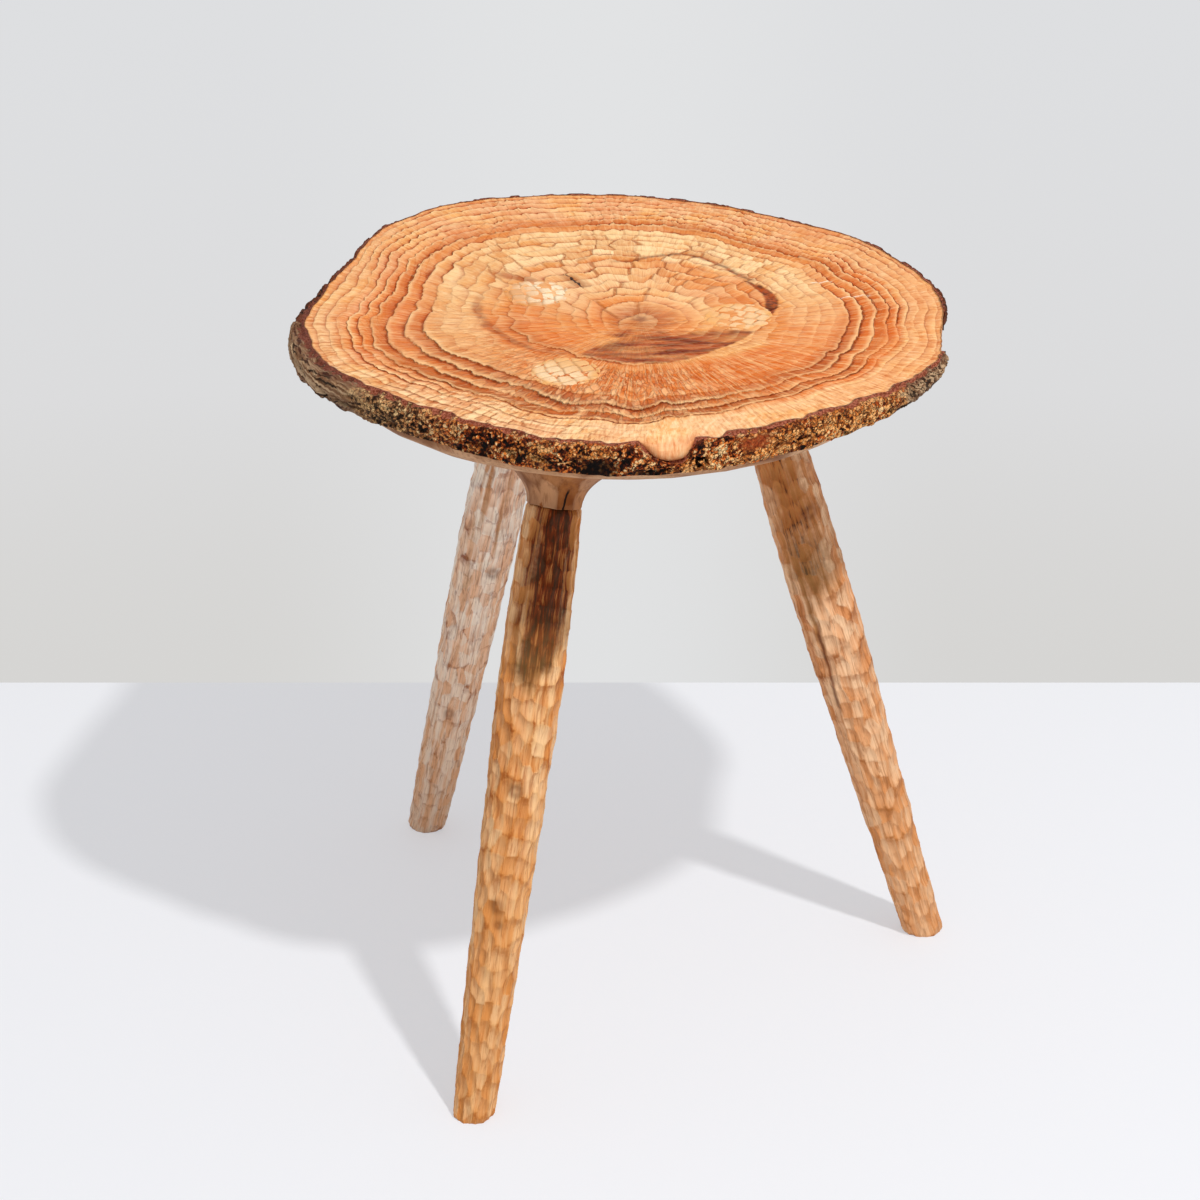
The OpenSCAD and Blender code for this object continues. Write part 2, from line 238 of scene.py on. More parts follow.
def tube(name, rings, maps=None, fields=None):
    """A closed skin over a stack of rings, given as rows of points. Each ring is closed, and the
    first and the last one are drawn together to their middle points. Where the skin's volume comes
    out negative its faces are turned outward. maps are corner coordinates with one more column
    than the rings, fields are numbers for each point."""
    rows, columns = rings.shape[:2]
    points = np.concatenate([rings.reshape(-1, 3), rings[:1].mean(1), rings[-1:].mean(1)])
    row, column = (place.ravel() for place in grid(np.arange(rows - 1), np.arange(columns)))

    def faces(wide, after):
        """Corner numbers of the faces between the rings, with so many points to a ring."""
        return np.stack([row * wide + column, row * wide + after,
                         (row + 1) * wide + after, (row + 1) * wide + column], 1)

    sides = faces(columns, (column + 1) % columns)
    edge = np.arange(columns)
    turned = (edge + 1) % columns
    last = (rows - 1) * columns
    start_cap = np.stack([turned, edge, np.full(columns, rows * columns)], 1)
    end_cap = np.stack([last + edge, last + turned, np.full(columns, rows * columns + 1)], 1)
    corners = np.concatenate([sides.ravel(), start_cap.ravel(), end_cap.ravel()])
    sizes = np.concatenate([np.full(len(sides), 4), np.full(2 * columns, 3)])

    mesh = bpy.data.meshes.new(name)
    mesh.vertices.add(len(points))
    mesh.vertices.foreach_set("co", (points + [*PITH, 0]).ravel() / 1000)
    mesh.loops.add(len(corners))
    mesh.loops.foreach_set("vertex_index", corners)
    mesh.polygons.add(len(sizes))
    mesh.polygons.foreach_set("loop_start", np.cumsum(sizes) - sizes)
    mesh.update(calc_edges=True)
    first, second, third, fourth = (points[sides[:, k]] for k in range(4))
    volume = np.sum(first * (np.cross(second, third) + np.cross(third, fourth)))
    mesh.polygons.foreach_set("use_smooth", np.ones(len(sizes), bool))
    for key, values in (maps or {}).items():
        wide = columns + 1
        flat = values.reshape(-1, 2)
        last = (rows - 1) * wide
        caps = []
        for base, near, far in ((0, edge + 1, edge), (last, edge, edge + 1)):
            halfway = (flat[base + near] + flat[base + far]) / 2
            middle = values[base // wide].mean(0) * [0, 1] + halfway * [1, 0]
            caps.append(np.stack([flat[base + near], flat[base + far], middle], 1).reshape(-1, 2))
        corner_map = np.concatenate([flat[faces(wide, column + 1).ravel()], *caps])
        mesh.uv_layers.new(name=key).data.foreach_set("uv", corner_map.ravel())
    for key, values in (fields or {}).items():
        whole = np.concatenate([values.ravel(), [values[0].mean()], [values[-1].mean()]])
        mesh.attributes.new(key, "FLOAT", "POINT").data.foreach_set("value", whole)
    if volume < 0:
        mesh.flip_normals()
    piece = bpy.data.objects.new(name, mesh)
    bpy.context.scene.collection.objects.link(piece)
    return piece


def set_down(piece, material, slot, *nodes):
    """Gives a piece its finish and hides the nodes that it stands for; the slot is not used."""
    piece.data.materials.append(material)
    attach(piece, "root")
    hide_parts(*nodes)


# The carved top

# Rings per reach of the trunk, inside and outside a share of it, and the last ring of the map
RING_STEP = 19.5
RIM_RING_STEP = 30
RIM_RINGS_FROM = 0.8
LAST_RING = 24
# Cells of the carving: from this ring on, so many more in a round
CELL_STEPS = ((0, 8), (1, 8), (3, 16), (5, 20), (8, 28), (12, 40))
CELL_SHIFT = 0.12
BACK_THINNING = 0.38
RIM_THINNING = 0.08
SCALLOP = 0.36
SLANT = 0.3


def ring_map(turn, share, points):
    """Place of a point among the growth rings: its ring number, counted from the pith, and its
    place round the trunk from 0 to 1. The inner rings lie off the pith, to the back and the right.
    Neighbouring rings waver together, and the cells are wide at the back and narrow at the front.
    Between the rays each ring line hangs toward the front."""
    inner = ease(share, 0, 0.2) * (1 - ease(share, 0.45, 0.85))
    radians = np.radians(turn)
    spoke = spot(150, turn, share * 60)
    waver = 0.018 * noise(spoke, 24, 1) + 0.011 * noise(spoke, 10, 2) + 0.005 * noise(points, 22, 4) \
        + 0.004 * noise(points, 4.5, 19)
    warped = share - inner * (0.045 * np.cos(radians) + 0.095 * np.sin(radians))
    warped = np.clip(warped + waver * ease(share, 0.05, 0.4) * (1 - 0.7 * ease(share, 0.9, 1)), 0, 1)
    ring = np.where(warped < RIM_RINGS_FROM, warped * RING_STEP,
                    RIM_RINGS_FROM * RING_STEP + (warped - RIM_RINGS_FROM) * RIM_RING_STEP)
    sway = (0.012 * noise(points, 34, 3) + 0.003 * noise(points, 9, 7)) * ease(share, 0.05, 0.4)
    thinning = BACK_THINNING + (RIM_THINNING - BACK_THINNING) * ease(share, 0.74, 0.84)
    around = turn / 360 - thinning * np.sin(radians - math.pi / 2) / (2 * math.pi) + sway
    nearest = np.round(ring)
    swell = 1 - np.abs(2 * ((around * cell_count(nearest) + CELL_SHIFT * nearest) % 1) - 1)
    sag = SCALLOP * np.maximum(0, np.sin(radians)) - 0.1 * np.maximum(0, -np.sin(radians))
    hang = sag * (swell - 0.5) * (1 - 4 * (ring - nearest) ** 2)
    return ring + hang * ease(ring, 2, 4), around


def cell_count(ring):
    """Number of carved cells in a ring: further rings have more."""
    band = np.floor(ring)
    return sum(extra * (band >= start) for start, extra in CELL_STEPS)


def patch(ring, turn, low, high, middle, spread, strength):
    """A stain between two rings that fades to either side of one direction."""
    return strength * ease(ring, low - 0.5, low + 0.5) * (1 - ease(ring, high - 0.5, high + 0.5)) \
        * toward(turn, middle, spread)


def stain(ring, turn, patches):
    """Several patches, each laid over the ones before."""
    bare = 1
    for entry in patches:
        bare = bare * (1 - patch(ring, turn, *entry))
    return 1 - bare


# Stains of the top: from ring, to ring, middle direction, spread, strength
ORANGE = ((9.5, 15.9, 268, 60, 0.65), (12.4, 17.2, 330, 36, 1.0), (12.9, 17.4, 8, 34, 0.85),
          (13.0, 17.6, 190, 44, 0.7), (14.2, 16.2, 90, 75, 0.5), (5.4, 9.8, 192, 34, 0.75),
          (0.0, 8.0, 170, 60, 0.5), (8.0, 12, 245, 44, 0.6), (0, 3, 0, 400, 0.4),
          (8.5, 13.5, 316, 40, 0.95), (4.0, 8.0, 40, 40, 0.5), (17.5, 19.2, 195, 34, 0.45),
          (8.4, 13.0, 348, 30, 0.45), (18, 24, 0, 50, 0.3), (20.9, 28, 277, 9, 0.4))
RUST = ((3.4, 8.0, 264, 40, 0.3), (7.3, 8.5, 200, 30, 0.4), (13.3, 14.6, 255, 44, 0.6),
        (15.0, 15.9, 268, 70, 0.5), (13.0, 13.7, 200, 34, 0.4), (12.6, 14.0, 335, 26, 0.5),
        (14.6, 15.6, 75, 60, 0.4), (0.4, 3.0, 232, 28, 0.9), (0, 1.6, 0, 400, 0.45))
CREAM = ((16.4, 22.5, 268, 62, 0.9), (8.8, 12.6, 26, 50, 0.6), (8.8, 14.2, 88, 62, 0.95),
         (9.6, 12.6, 180, 42, 0.45), (17.8, 22.5, 10, 50, 0.4), (3.0, 7.4, 110, 46, 0.75),
         (16.6, 18.0, 100, 60, 0.6), (19.6, 21.0, 180, 60, 0.4))
ROSE = ((15.3, 21.6, 95, 70, 0.65), (17.2, 18.6, 178, 34, 0.8), (18.4, 20.5, 200, 26, 0.3),
        (13.6, 15.2, 172, 25, 0.5), (17, 22, 262, 50, 0.6))
LINES = ((12.4, 18.4, 183, 56, 1.0), (12.6, 17.8, 20, 45, 0.9), (13.6, 22.5, 90, 80, 0.85),
         (13.2, 16.2, 270, 60, 0.8), (0.5, 6.4, 90, 66, 0.45), (6.6, 7.4, 70, 66, 1.0),
         (7.6, 8.4, 225, 66, 0.5), (8, 13, 90, 66, 0.45), (16, 22, 236, 44, 0.4), (0, 24, 0, 400, 0.18))
RAYS = ((0.8, 13, 92, 64, 0.9), (13, 22, 92, 50, 0.3), (16.0, 22.5, 236, 42, 0.85),
        (13.6, 15.8, 270, 45, 0.4), (0.8, 24, 0, 400, 0.1))


def lens(x, y, stray):
    """The red-brown lens in front of the pith: between the parabola y = 0.0105 * (x - 4) ** 2 - 58
    and the lower of y = -3 and y = 0.86 * x - 7."""
    low = 0.0105 * (x - 4) ** 2 - 58
    high = np.minimum(-3, 0.86 * x - 7)
    bands = noise(np.stack([x / 6, y, x * 0], -1), 5, 18)
    inside = ease(y + stray - low, 0, 2.5) * ease(high - y + 2 * stray, -2, 9)
    return inside * np.minimum(1, 0.9 + 0.4 * bands)


def crescent(x, y, stray):
    """The dark crescent right of the pith, between two parabolas whose tips meet: dark wood, with the painted
    shade of the carved hollow it lies in. From its upper tip a thin line runs round the back, at the reach
    105 + 17 * exp(-((turn - 73) / 16) ** 2)."""
    steep = np.where(y > 42, 0.0166, 0.0105)
    outer = 90.5 - steep * (y - 42) ** 2
    inner = 81.5 - 0.009 * (y - 38) ** 2
    body = ease(x + 0.4 * stray - inner, 0, 1.2) * ease(outer - x + 0.4 * stray, 0, 1.2)
    body = body * ease(y, -6, 2) * (y < 77)
    turn = np.degrees(np.arctan2(y, x))
    off = np.hypot(x, y) + 0.7 * stray - 105 - 17 * np.exp(-((turn - 73) / 16) ** 2)
    thin_line = 0.85 * np.exp(-(off / 2) ** 2) * ease(turn, 42, 47) * (1 - ease(turn, 92, 100))
    return np.maximum(body, thin_line)


def left_band(x, y, stray):
    """A broken brown band left of the pith, along the reach 99 - 0.71 * (turn - 164)."""
    turn = np.degrees(np.arctan2(y, x)) % 360
    off = np.hypot(x, y) + stray - 99 + 0.71 * (turn - 164)
    return np.exp(-(off / 3.6) ** 4) * ease(turn, 145, 165) * (1 - ease(turn, 218, 232)) \
        * ease(noise(np.stack([x, y, x * 0], -1), 14, 15), -0.5, 0.2)


def left_fleck(x, y, stray):
    """A short dark fleck further left, along y = 43 - 0.5 * x."""
    return np.exp(-((x + 74) / 15) ** 4 - ((y + 0.5 * x - 43 + stray) / 5) ** 4)


def seat_top():
    """The carved top and the rim's side. The top is the shallow bowl of the source,
    z = top - dish * (1 - v * v) with v the distance from the bowl's middle. Each ring climbs outward
    and drops at the next ring line, and the cells between the rays are tipped a little their own way."""
    columns, top_rows, side_rows = 620, 144, 14
    turn = np.arange(columns + 1) * 360 / columns
    share = np.linspace(0.006, 1, top_rows)
    share, turn = grid(share, turn)
    reach = rim_reach(turn) + wood_edge(turn) * ease(share, 0.9, 1)
    radius = share * reach
    flat = spot(radius, turn, 0)
    x, y = flat[..., 0], flat[..., 1]
    ring, around = ring_map(turn, share, flat)
    count = cell_count(ring)
    south = np.minimum(0, np.sin(np.radians(turn)))
    phase = around * count + CELL_SHIFT * np.floor(ring) - SLANT * south * (ring % 1)
    to_ray = np.abs(phase - np.round(phase)) * 2 * math.pi * radius / count
    odd = np.round(ring) % 2 * toward(turn, 270, 60) * ease(ring, 15.4, 16)
    calm = 0.85 * toward(turn, 284, 23) * ease(ring, 16, 17)
    line = stain(ring, turn, LINES) * (1 - 0.8 * odd) * (1 - 0.9 * calm)
    ray = stain(ring, turn, RAYS) * (1 - 0.9 * calm)
    stray = 1.6 * noise(flat, 12, 16) + 1.2 * noise(flat, 4, 17)
    rust = max_of([stain(ring, turn, RUST), lens(x, y, stray), 0.65 * left_band(x, y, stray),
                   0.7 * left_fleck(x, y, stray)], ring)
    deep = crescent(x, y, stray)
    front = toward(turn, 256, 62) * ease(ring, 8, 10) * (1 - ease(ring, 16, 16.5))
    bowl = DISH * (1 - np.minimum(from_middle(x, y), 1) ** 2)
    cell, band = np.floor(phase).astype(np.int64), np.floor(ring).astype(np.int64)
    tip = (chance(cell, band, cell * 0, 11) - 0.5) * (ring % 1 - 0.5)
    lean = (chance(cell, band, cell * 0, 12) - 0.5) * (phase % 1 - 0.5)
    carve = 1.3 * line * (1 - ring % 1) ** 1.5 \
        + (0.1 + 0.5 * ray) * np.exp(-(to_ray / 1.2) ** 2) * ease(ring, 0.6, 1.5) \
        + 0.9 * ease(ring, 1, 3) * (np.abs(tip) + np.abs(lean)) \
        + 0.3 * (1 + noise(flat, 26, 6)) + 0.35 * front * (1 + noise(flat, 5, 8)) + 0.3 * deep
    height = SEAT_TOP - bowl - carve * (1 - 0.5 * ease(share, 0.985, 1))

    sag = lip_sag(turn[0])
    height = height - LIP_DROP * sag * ease(share, 0.88, 1.02) ** 2
    radius = radius + 0.6 * LIP_REACH * sag * ease(share, 0.93, 1)
    down = np.linspace(0, 1, side_rows)[:, None]
    side_turn = np.broadcast_to(turn[0], (side_rows, columns + 1))
    side_height = height[-1] * (1 - down) + rim_low(turn[0]) * down
    tongue = (height[-1] - bark_top(turn[0])) / 2 + 0.5
    fold = (side_height - height[-1] + tongue) / (1.1 * tongue)
    bulge = np.sqrt(np.clip(1 - fold ** 2, 0, 1))
    wood = spot(reach[-1], side_turn, side_height)
    side_radius = reach[-1] + (LIP_REACH - 0.3) * sag * bulge - 0.5 * (1 + noise(wood, 5, 21)) * (1 - sag)
    side_radius[0] = radius[-1] + np.where(sag > 0, 0.1, -0.1)
    floor_radius = 0.5 * reach[:1]
    turns = np.concatenate([turn, side_turn, turn[:1]])
    radii = np.concatenate([radius, side_radius, floor_radius])
    heights = np.concatenate([height, side_height, rim_low(turn[:1]) + 0.3])
    rings = spot(radii, turns, heights)

    def whole(field, side=0.0):
        """A field of the top, with one value on the side and below."""
        below = np.full((side_rows + 1, columns + 1), side)
        below[0] = field[-1]
        below = below * (1 - sag ** 0.3) + field[-1] * sag ** 0.3
        return np.concatenate([field, below])[:, :columns]

    drop = np.concatenate([down, down[-1:]]) * 3 / LAST_RING
    below_map = np.stack([around[-1] + 0 * drop, ring[-1] / LAST_RING + drop], -1)
    maps = {"rings": np.concatenate([np.stack([around, ring / LAST_RING], -1), below_map])}
    fields = {"orange": whole(stain(ring, turn, ORANGE), 0.3), "cream": whole(stain(ring, turn, CREAM), 0.2),
              "rose": whole(stain(ring, turn, ROSE)), "rust": whole(rust), "deep": whole(deep),
              "front": whole(front), "calm": whole(calm), "line": whole(line), "ray": whole(ray),
              "side": whole(np.zeros_like(line), 1.0)}
    return tube("seat_top", rings[:, :columns], maps, fields)


def belly_height(x, y):
    """Height of the rounded underside: low in the middle, rising as 1 - sqrt(1 - u ** power), with u
    the share of the way from the outline's middle to the edge of the round part."""
    low = rim_low(np.degrees(np.arctan2(y, x)))
    u = np.clip(from_middle(x, y), 0, 1)
    return BELLY_LOW + (low - BELLY_LOW) * (1 - np.sqrt(1 - u ** BELLY_POWER))


# Gouge marks in a round of the underside, of a boss and of a leg
UNDERSIDE_MARKS = 32
BOSS_MARKS = 11
LEG_MARKS = 17


def seat_underside():
    """The rounded underside, with broad gouge marks cut round it."""
    columns, rows = 480, 120
    turn = np.arange(columns) * 360 / columns
    share = np.concatenate([[0.9, 1.0], np.linspace(1, 0.004, rows)])
    share, turn = grid(share, turn)
    radius = share * (rim_reach(turn) - 0.3)
    rings = spot(radius, turn, 0)
    depth, offset, mark = scoops(turn / 360 * UNDERSIDE_MARKS, radius / 15, UNDERSIDE_MARKS, (0.6, 0.6),
                                 (0.5, 0.8), 31)
    height = belly_height(rings[..., 0], rings[..., 1]) + 0.2
    height = height + 1.2 * depth * ease(share, 0, 0.15) * (1 - ease(share, 0.95, 1))
    height[:2] = rim_low(turn[:2]) + [[1], [0.8]]
    rings[..., 2] = height
    return tube("seat_underside", rings, fields={"hollow": depth, "offset": offset, "mark": mark})


class Axis:
    """The line of a leg, with the two directions across it."""

    def __init__(self, turn, foot_reach, crown_reach, swell, sway):
        self.foot = self.spot(turn, foot_reach, 0)
        self.swell = swell
        self.sway = np.array([sway, 0, 0])
        line = self.spot(turn + CROWN_LEAD, crown_reach, SEAT_TOP) - self.foot
        self.line = line / np.linalg.norm(line)
        level = math.hypot(self.line[0], self.line[1])
        self.inward = np.array([self.line[0] / level, self.line[1] / level, 0])
        self.aside = np.array([-self.inward[1], self.inward[0], 0])
        self.across = self.inward * self.line[2] - np.array([0, 0, level])
        self.lean = level

    def spot(self, turn, reach, height):
        """Point at a reach from the middle of the legs."""
        turn = math.radians(turn)
        x, y = reach * math.cos(turn) - LEGS_LEFT, reach * math.sin(turn) + LEGS_BEHIND
        return np.array([x, y, float(height)])

    def at(self, height):
        """Point of the line at a height."""
        return self.foot + self.line * height / self.line[2]

    def length(self, height):
        """How far along the line a height is."""
        return height / self.line[2]

    def spokes(self, turn):
        """Directions square to the line, one for each turn round it."""
        return -np.cos(turn)[..., None] * self.across + np.sin(turn)[..., None] * self.aside


def boss(name, axis):
    """A trumpet that grows out of the underside: from a narrow ring at the joint it rises as
    sin(sweep) and flares as 1 - cos(sweep), with upright gouge marks."""
    columns, rows = 160, 90
    turn = np.radians(np.arange(columns) * 360 / columns)
    sweep = np.radians(np.linspace(0, BOSS_SWEEP, rows))
    sweep, turn = grid(sweep, turn)
    cosine, sine = np.cos(turn)[..., None], np.sin(turn)[..., None]

    def ring(centre, radius, across):
        return centre - radius * cosine * across + radius * sine * axis.aside

    joint, root = axis.at(JOINT_HEIGHT) + axis.sway, axis.at(BELLY_LOW) + axis.sway
    low = ring(joint, BOSS_WIDTH / 2, axis.across)
    end = ring(root, BOSS_WIDTH / 2 + BOSS_FLARE, axis.inward)
    out = ring(np.zeros(3), 1, axis.inward)
    rise = (np.sin(sweep) / math.sin(math.radians(BOSS_SWEEP)))[..., None]
    flare = ((1 - np.cos(sweep)) / (1 - math.cos(math.radians(BOSS_SWEEP))))[..., None]
    climb = belly_height(end[..., 0], end[..., 1]) + BOSS_SINK - low[..., 2]
    shift = [np.full(turn.shape, root[k] - joint[k]) for k in (0, 1)]
    points = low + np.stack([*shift, climb], -1) * rise + BOSS_FLARE * out * flare
    around, swept = turn / (2 * math.pi), np.degrees(sweep)
    depth, offset, mark = scoops(around * BOSS_MARKS, swept / 24, BOSS_MARKS, (0.55, 0.8), (0.3, 0.8), 41)
    points = points - (0.1 + 1.8 * depth * (1 - ease(swept, 60, 78)))[..., None] * out
    top = points[-1:] + [0, 0, 8]
    inner = joint + (points[:1] - joint) * 0.85
    points = np.concatenate([inner, points, top])

    def whole(field):
        return np.concatenate([field[:1], field, field[-1:]])

    return tube(name, points, fields={"hollow": whole(depth), "offset": whole(offset), "mark": whole(mark)})


# Dark stains of the legs, and painted shade of the seat over their upper ends (the entries of spread 56 to
# 60): along the leg from and to, direction faced, spread, strength
STAINS_AND_PAINTED_SHADE = {"gouged_leg_front": ((262, 305, -80, 56, 1.0), (150, 380, 165, 30, 0.3)),
          "gouged_leg_right": ((235, 285, -98, 60, 0.65), (110, 300, -112, 16, 0.5)),
          "gouged_leg_left": ((60, 420, -122, 20, 0.45), (0, 400, -75, 14, 0.45), (330, 372, -90, 60, 0.3))}
# The long scar of the right leg: direction faced, at a height along the leg, and degrees per millimetre
SCAR_FACING = -114
SCAR_AT = 215
SCAR_LEAN = -0.12
# Brown knots: along the leg, direction faced, size
KNOTS = {"gouged_leg_front": ((212, -92, 5), (138, -100, 6), (126, -92, 4)),
         "gouged_leg_right": ((330, -60, 5),),
         "gouged_leg_left": ((250, -70, 5), (120, -100, 5))}


def leg(name, axis, seed):
    """A turned-looking leg shaped with a gouge: its radius swells from the shoulder as a quarter
    sine, then tapers to the foot, less a bowl for each gouge mark. The sole is cut level, and the
    tenon stands on the shoulder."""
    columns, rows = 176, 392
    length = axis.length(JOINT_HEIGHT) - 0.1
    turn = np.radians(np.arange(columns + 1) * 360 / columns)
    way, turn = grid(np.linspace(0, 1, rows), turn)
    around, t = turn / (2 * math.pi), 1 - way
    radius = np.where(t < SWELL_AT,
                      SHOULDER_WIDTH + (axis.swell - SHOULDER_WIDTH) * np.sin(np.pi / 2 * t / SWELL_AT),
                      axis.swell + (FOOT_WIDTH - axis.swell)
                      * np.clip((t - SWELL_AT) / (1 - SWELL_AT), 0, 1) ** TAPER_POWER) / 2
    sole = -radius * np.cos(turn) * axis.lean / axis.line[2]
    along = sole * (1 - way) + length * way
    ring = np.stack([np.cos(turn) * 18, np.sin(turn) * 18, along], -1)
    drift = 0.5 * noise(ring * [0, 0, 1], 70, seed) + 0.2 * noise(ring, 40, seed + 1)
    drift = drift + 0.25 * noise(ring, 9, seed + 2)
    depth, offset, mark = scoops(around * LEG_MARKS + drift, along / 12, LEG_MARKS, (0.68, 0.66), (0.5, 0.9),
                                 seed)
    radius = radius + 0.55 - 2.1 * depth * (0.45 + 0.55 * mark) - 0.8 * (1 + noise(ring, 24, seed + 3)) / 2
    radius = radius - 0.9 * (1 - ease(length - along, 0, 2.5)) - 0.8 * (1 - ease(along - sole, 0, 2))
    across = axis.spokes(turn)
    points = axis.foot + along[..., None] * axis.line + radius[..., None] * across
    points = points + way[..., None] * axis.sway
    points[0, :, 2] = 0
    facing = np.degrees(np.arctan2(across[..., 1], across[..., 0]))
    uneven = 14 * noise(ring, 22, seed + 5) + 6 * noise(ring, 8, seed + 6)
    # Dark stains, and painted shade of the seat over the upper end of the leg (the entries of spread 56 to
    # 60)
    shade = max_of([strength * ease(along + uneven, low, high) * toward(facing, middle, spread)
                    for low, high, middle, spread, strength in STAINS_AND_PAINTED_SHADE[name]], along)
    scar = np.exp(-((facing + SCAR_LEAN * (along - SCAR_AT) - SCAR_FACING) / 4 + uneven / 12) ** 2) \
        * ease(along, 175, 195) * (1 - ease(along, 245, 258)) * (name == "gouged_leg_right")
    for at, toward_knot, size in KNOTS[name]:
        apart = np.hypot(along - at, (facing - toward_knot) * 0.3) + 0.12 * uneven
        scar = scar + 0.6 * np.exp(-((apart - 0.5 * size) / (0.45 * size)) ** 2)
    scar = np.clip(scar, 0, 1)

    def disc(distance, width):
        return axis.foot + distance * axis.line + width / 2 * across[-1:]

    tenon_end = axis.length(SEAT_TOP) - PLUG_DEPTH - 0.1
    points = np.concatenate([points, disc(length, TENON_WIDTH), disc(tenon_end, TENON_WIDTH)])

    def whole(field):
        return np.concatenate([field, field[-1:], field[-1:]])

    maps = {"length": np.stack([whole(around), whole(along / 400)], -1)}
    fields = {key: whole(value)[:, :columns] for key, value in
              (("hollow", depth), ("offset", offset), ("mark", mark), ("shade", shade), ("scar", scar))}
    return tube(name, points[:, :columns], maps, fields)


# Length and width of a plug's cells, and the width of the grooves between
CELL_SIZE = (8.5, 8)
GROOVE = 0.8


def plug(name, axis, turned, bright_side, seed):
    """The pale disc over a tenon, flush with the bowl of the top, cut into a slanted grid of cells."""
    columns, rows = 150, 60
    turn = np.radians(np.arange(columns) * 360 / columns)
    share = np.concatenate([np.linspace(0.02, 1, rows), [1, 1]])
    share, turn = grid(share, turn)
    radius = share * (PLUG_WIDTH / 2 - 0.1)
    across = axis.spokes(turn)
    flat = axis.at(SEAT_TOP) + radius[..., None] * across
    cosine, sine = math.cos(math.radians(turned)), math.sin(math.radians(turned))
    x, y = (flat[..., k] - axis.at(SEAT_TOP)[k] for k in (0, 1))
    wave = 0.2 * noise(flat, 14, seed) + 0.1 * noise(flat, 5, seed + 1)
    u = (x * cosine + y * sine) / CELL_SIZE[0] + wave
    w = (y * cosine - x * sine) / CELL_SIZE[1] + wave + 0.25 + 0.4 * (np.floor(u) % 2)
    cell = chance(np.floor(u).astype(np.int64), np.floor(w).astype(np.int64), np.full(u.shape, seed), 5)
    groove = sum(np.exp(-(np.abs(place - np.round(place)) * size / GROOVE) ** 2)
                 for place, size in zip((u, w), CELL_SIZE))
    bowl = SEAT_TOP - DISH * (1 - from_middle(flat[..., 0], flat[..., 1]) ** 2)
    height = bowl - 0.15 - 0.35 * groove - 0.3 * cell - 0.5 * ease(share, 0.96, 1)
    height[-2:] = bowl[-2:] - 1.2
    points = flat + (height - flat[..., 2])[..., None] / axis.line[2] * axis.line
    points[-1] = axis.at(SEAT_TOP) - PLUG_DEPTH * axis.line + radius[-1][..., None] * across[-1]
    near = 0.5 + (x * math.cos(bright_side) + y * math.sin(bright_side)) / PLUG_WIDTH
    fields = {"groove": np.clip(groove, 0, 1), "mark": cell, "near": np.clip(near, 0, 1),
              "rim": ease(share + 0.12 * noise(flat, 6, seed + 2), 0.68, 1)}
    return tube(name, points[::-1], fields={key: value[::-1] for key, value in fields.items()})


# Patches of the bark: direction and share of its height, then how far they reach either way
PIT = ((263, 0.1), (3.7, 0.34))
RED_PLACE = ((293.5, 0.7), (3.4, 0.22))
# The ring-shaped groove of a knot: direction, height over the lower edge, reach, millimetres a degree
KNOT_TURN = 282.4
KNOT_HEIGHT = 6
KNOT_REACH = 3.2
KNOT_STRETCH = 3.3


def pane(across, up, middle, reach):
    """A patch with soft edges and rounded corners, exp(-u ** 4 - v ** 4)."""
    return np.exp(-((across - middle[0]) / reach[0]) ** 4 - ((up - middle[1]) / reach[1]) ** 4)


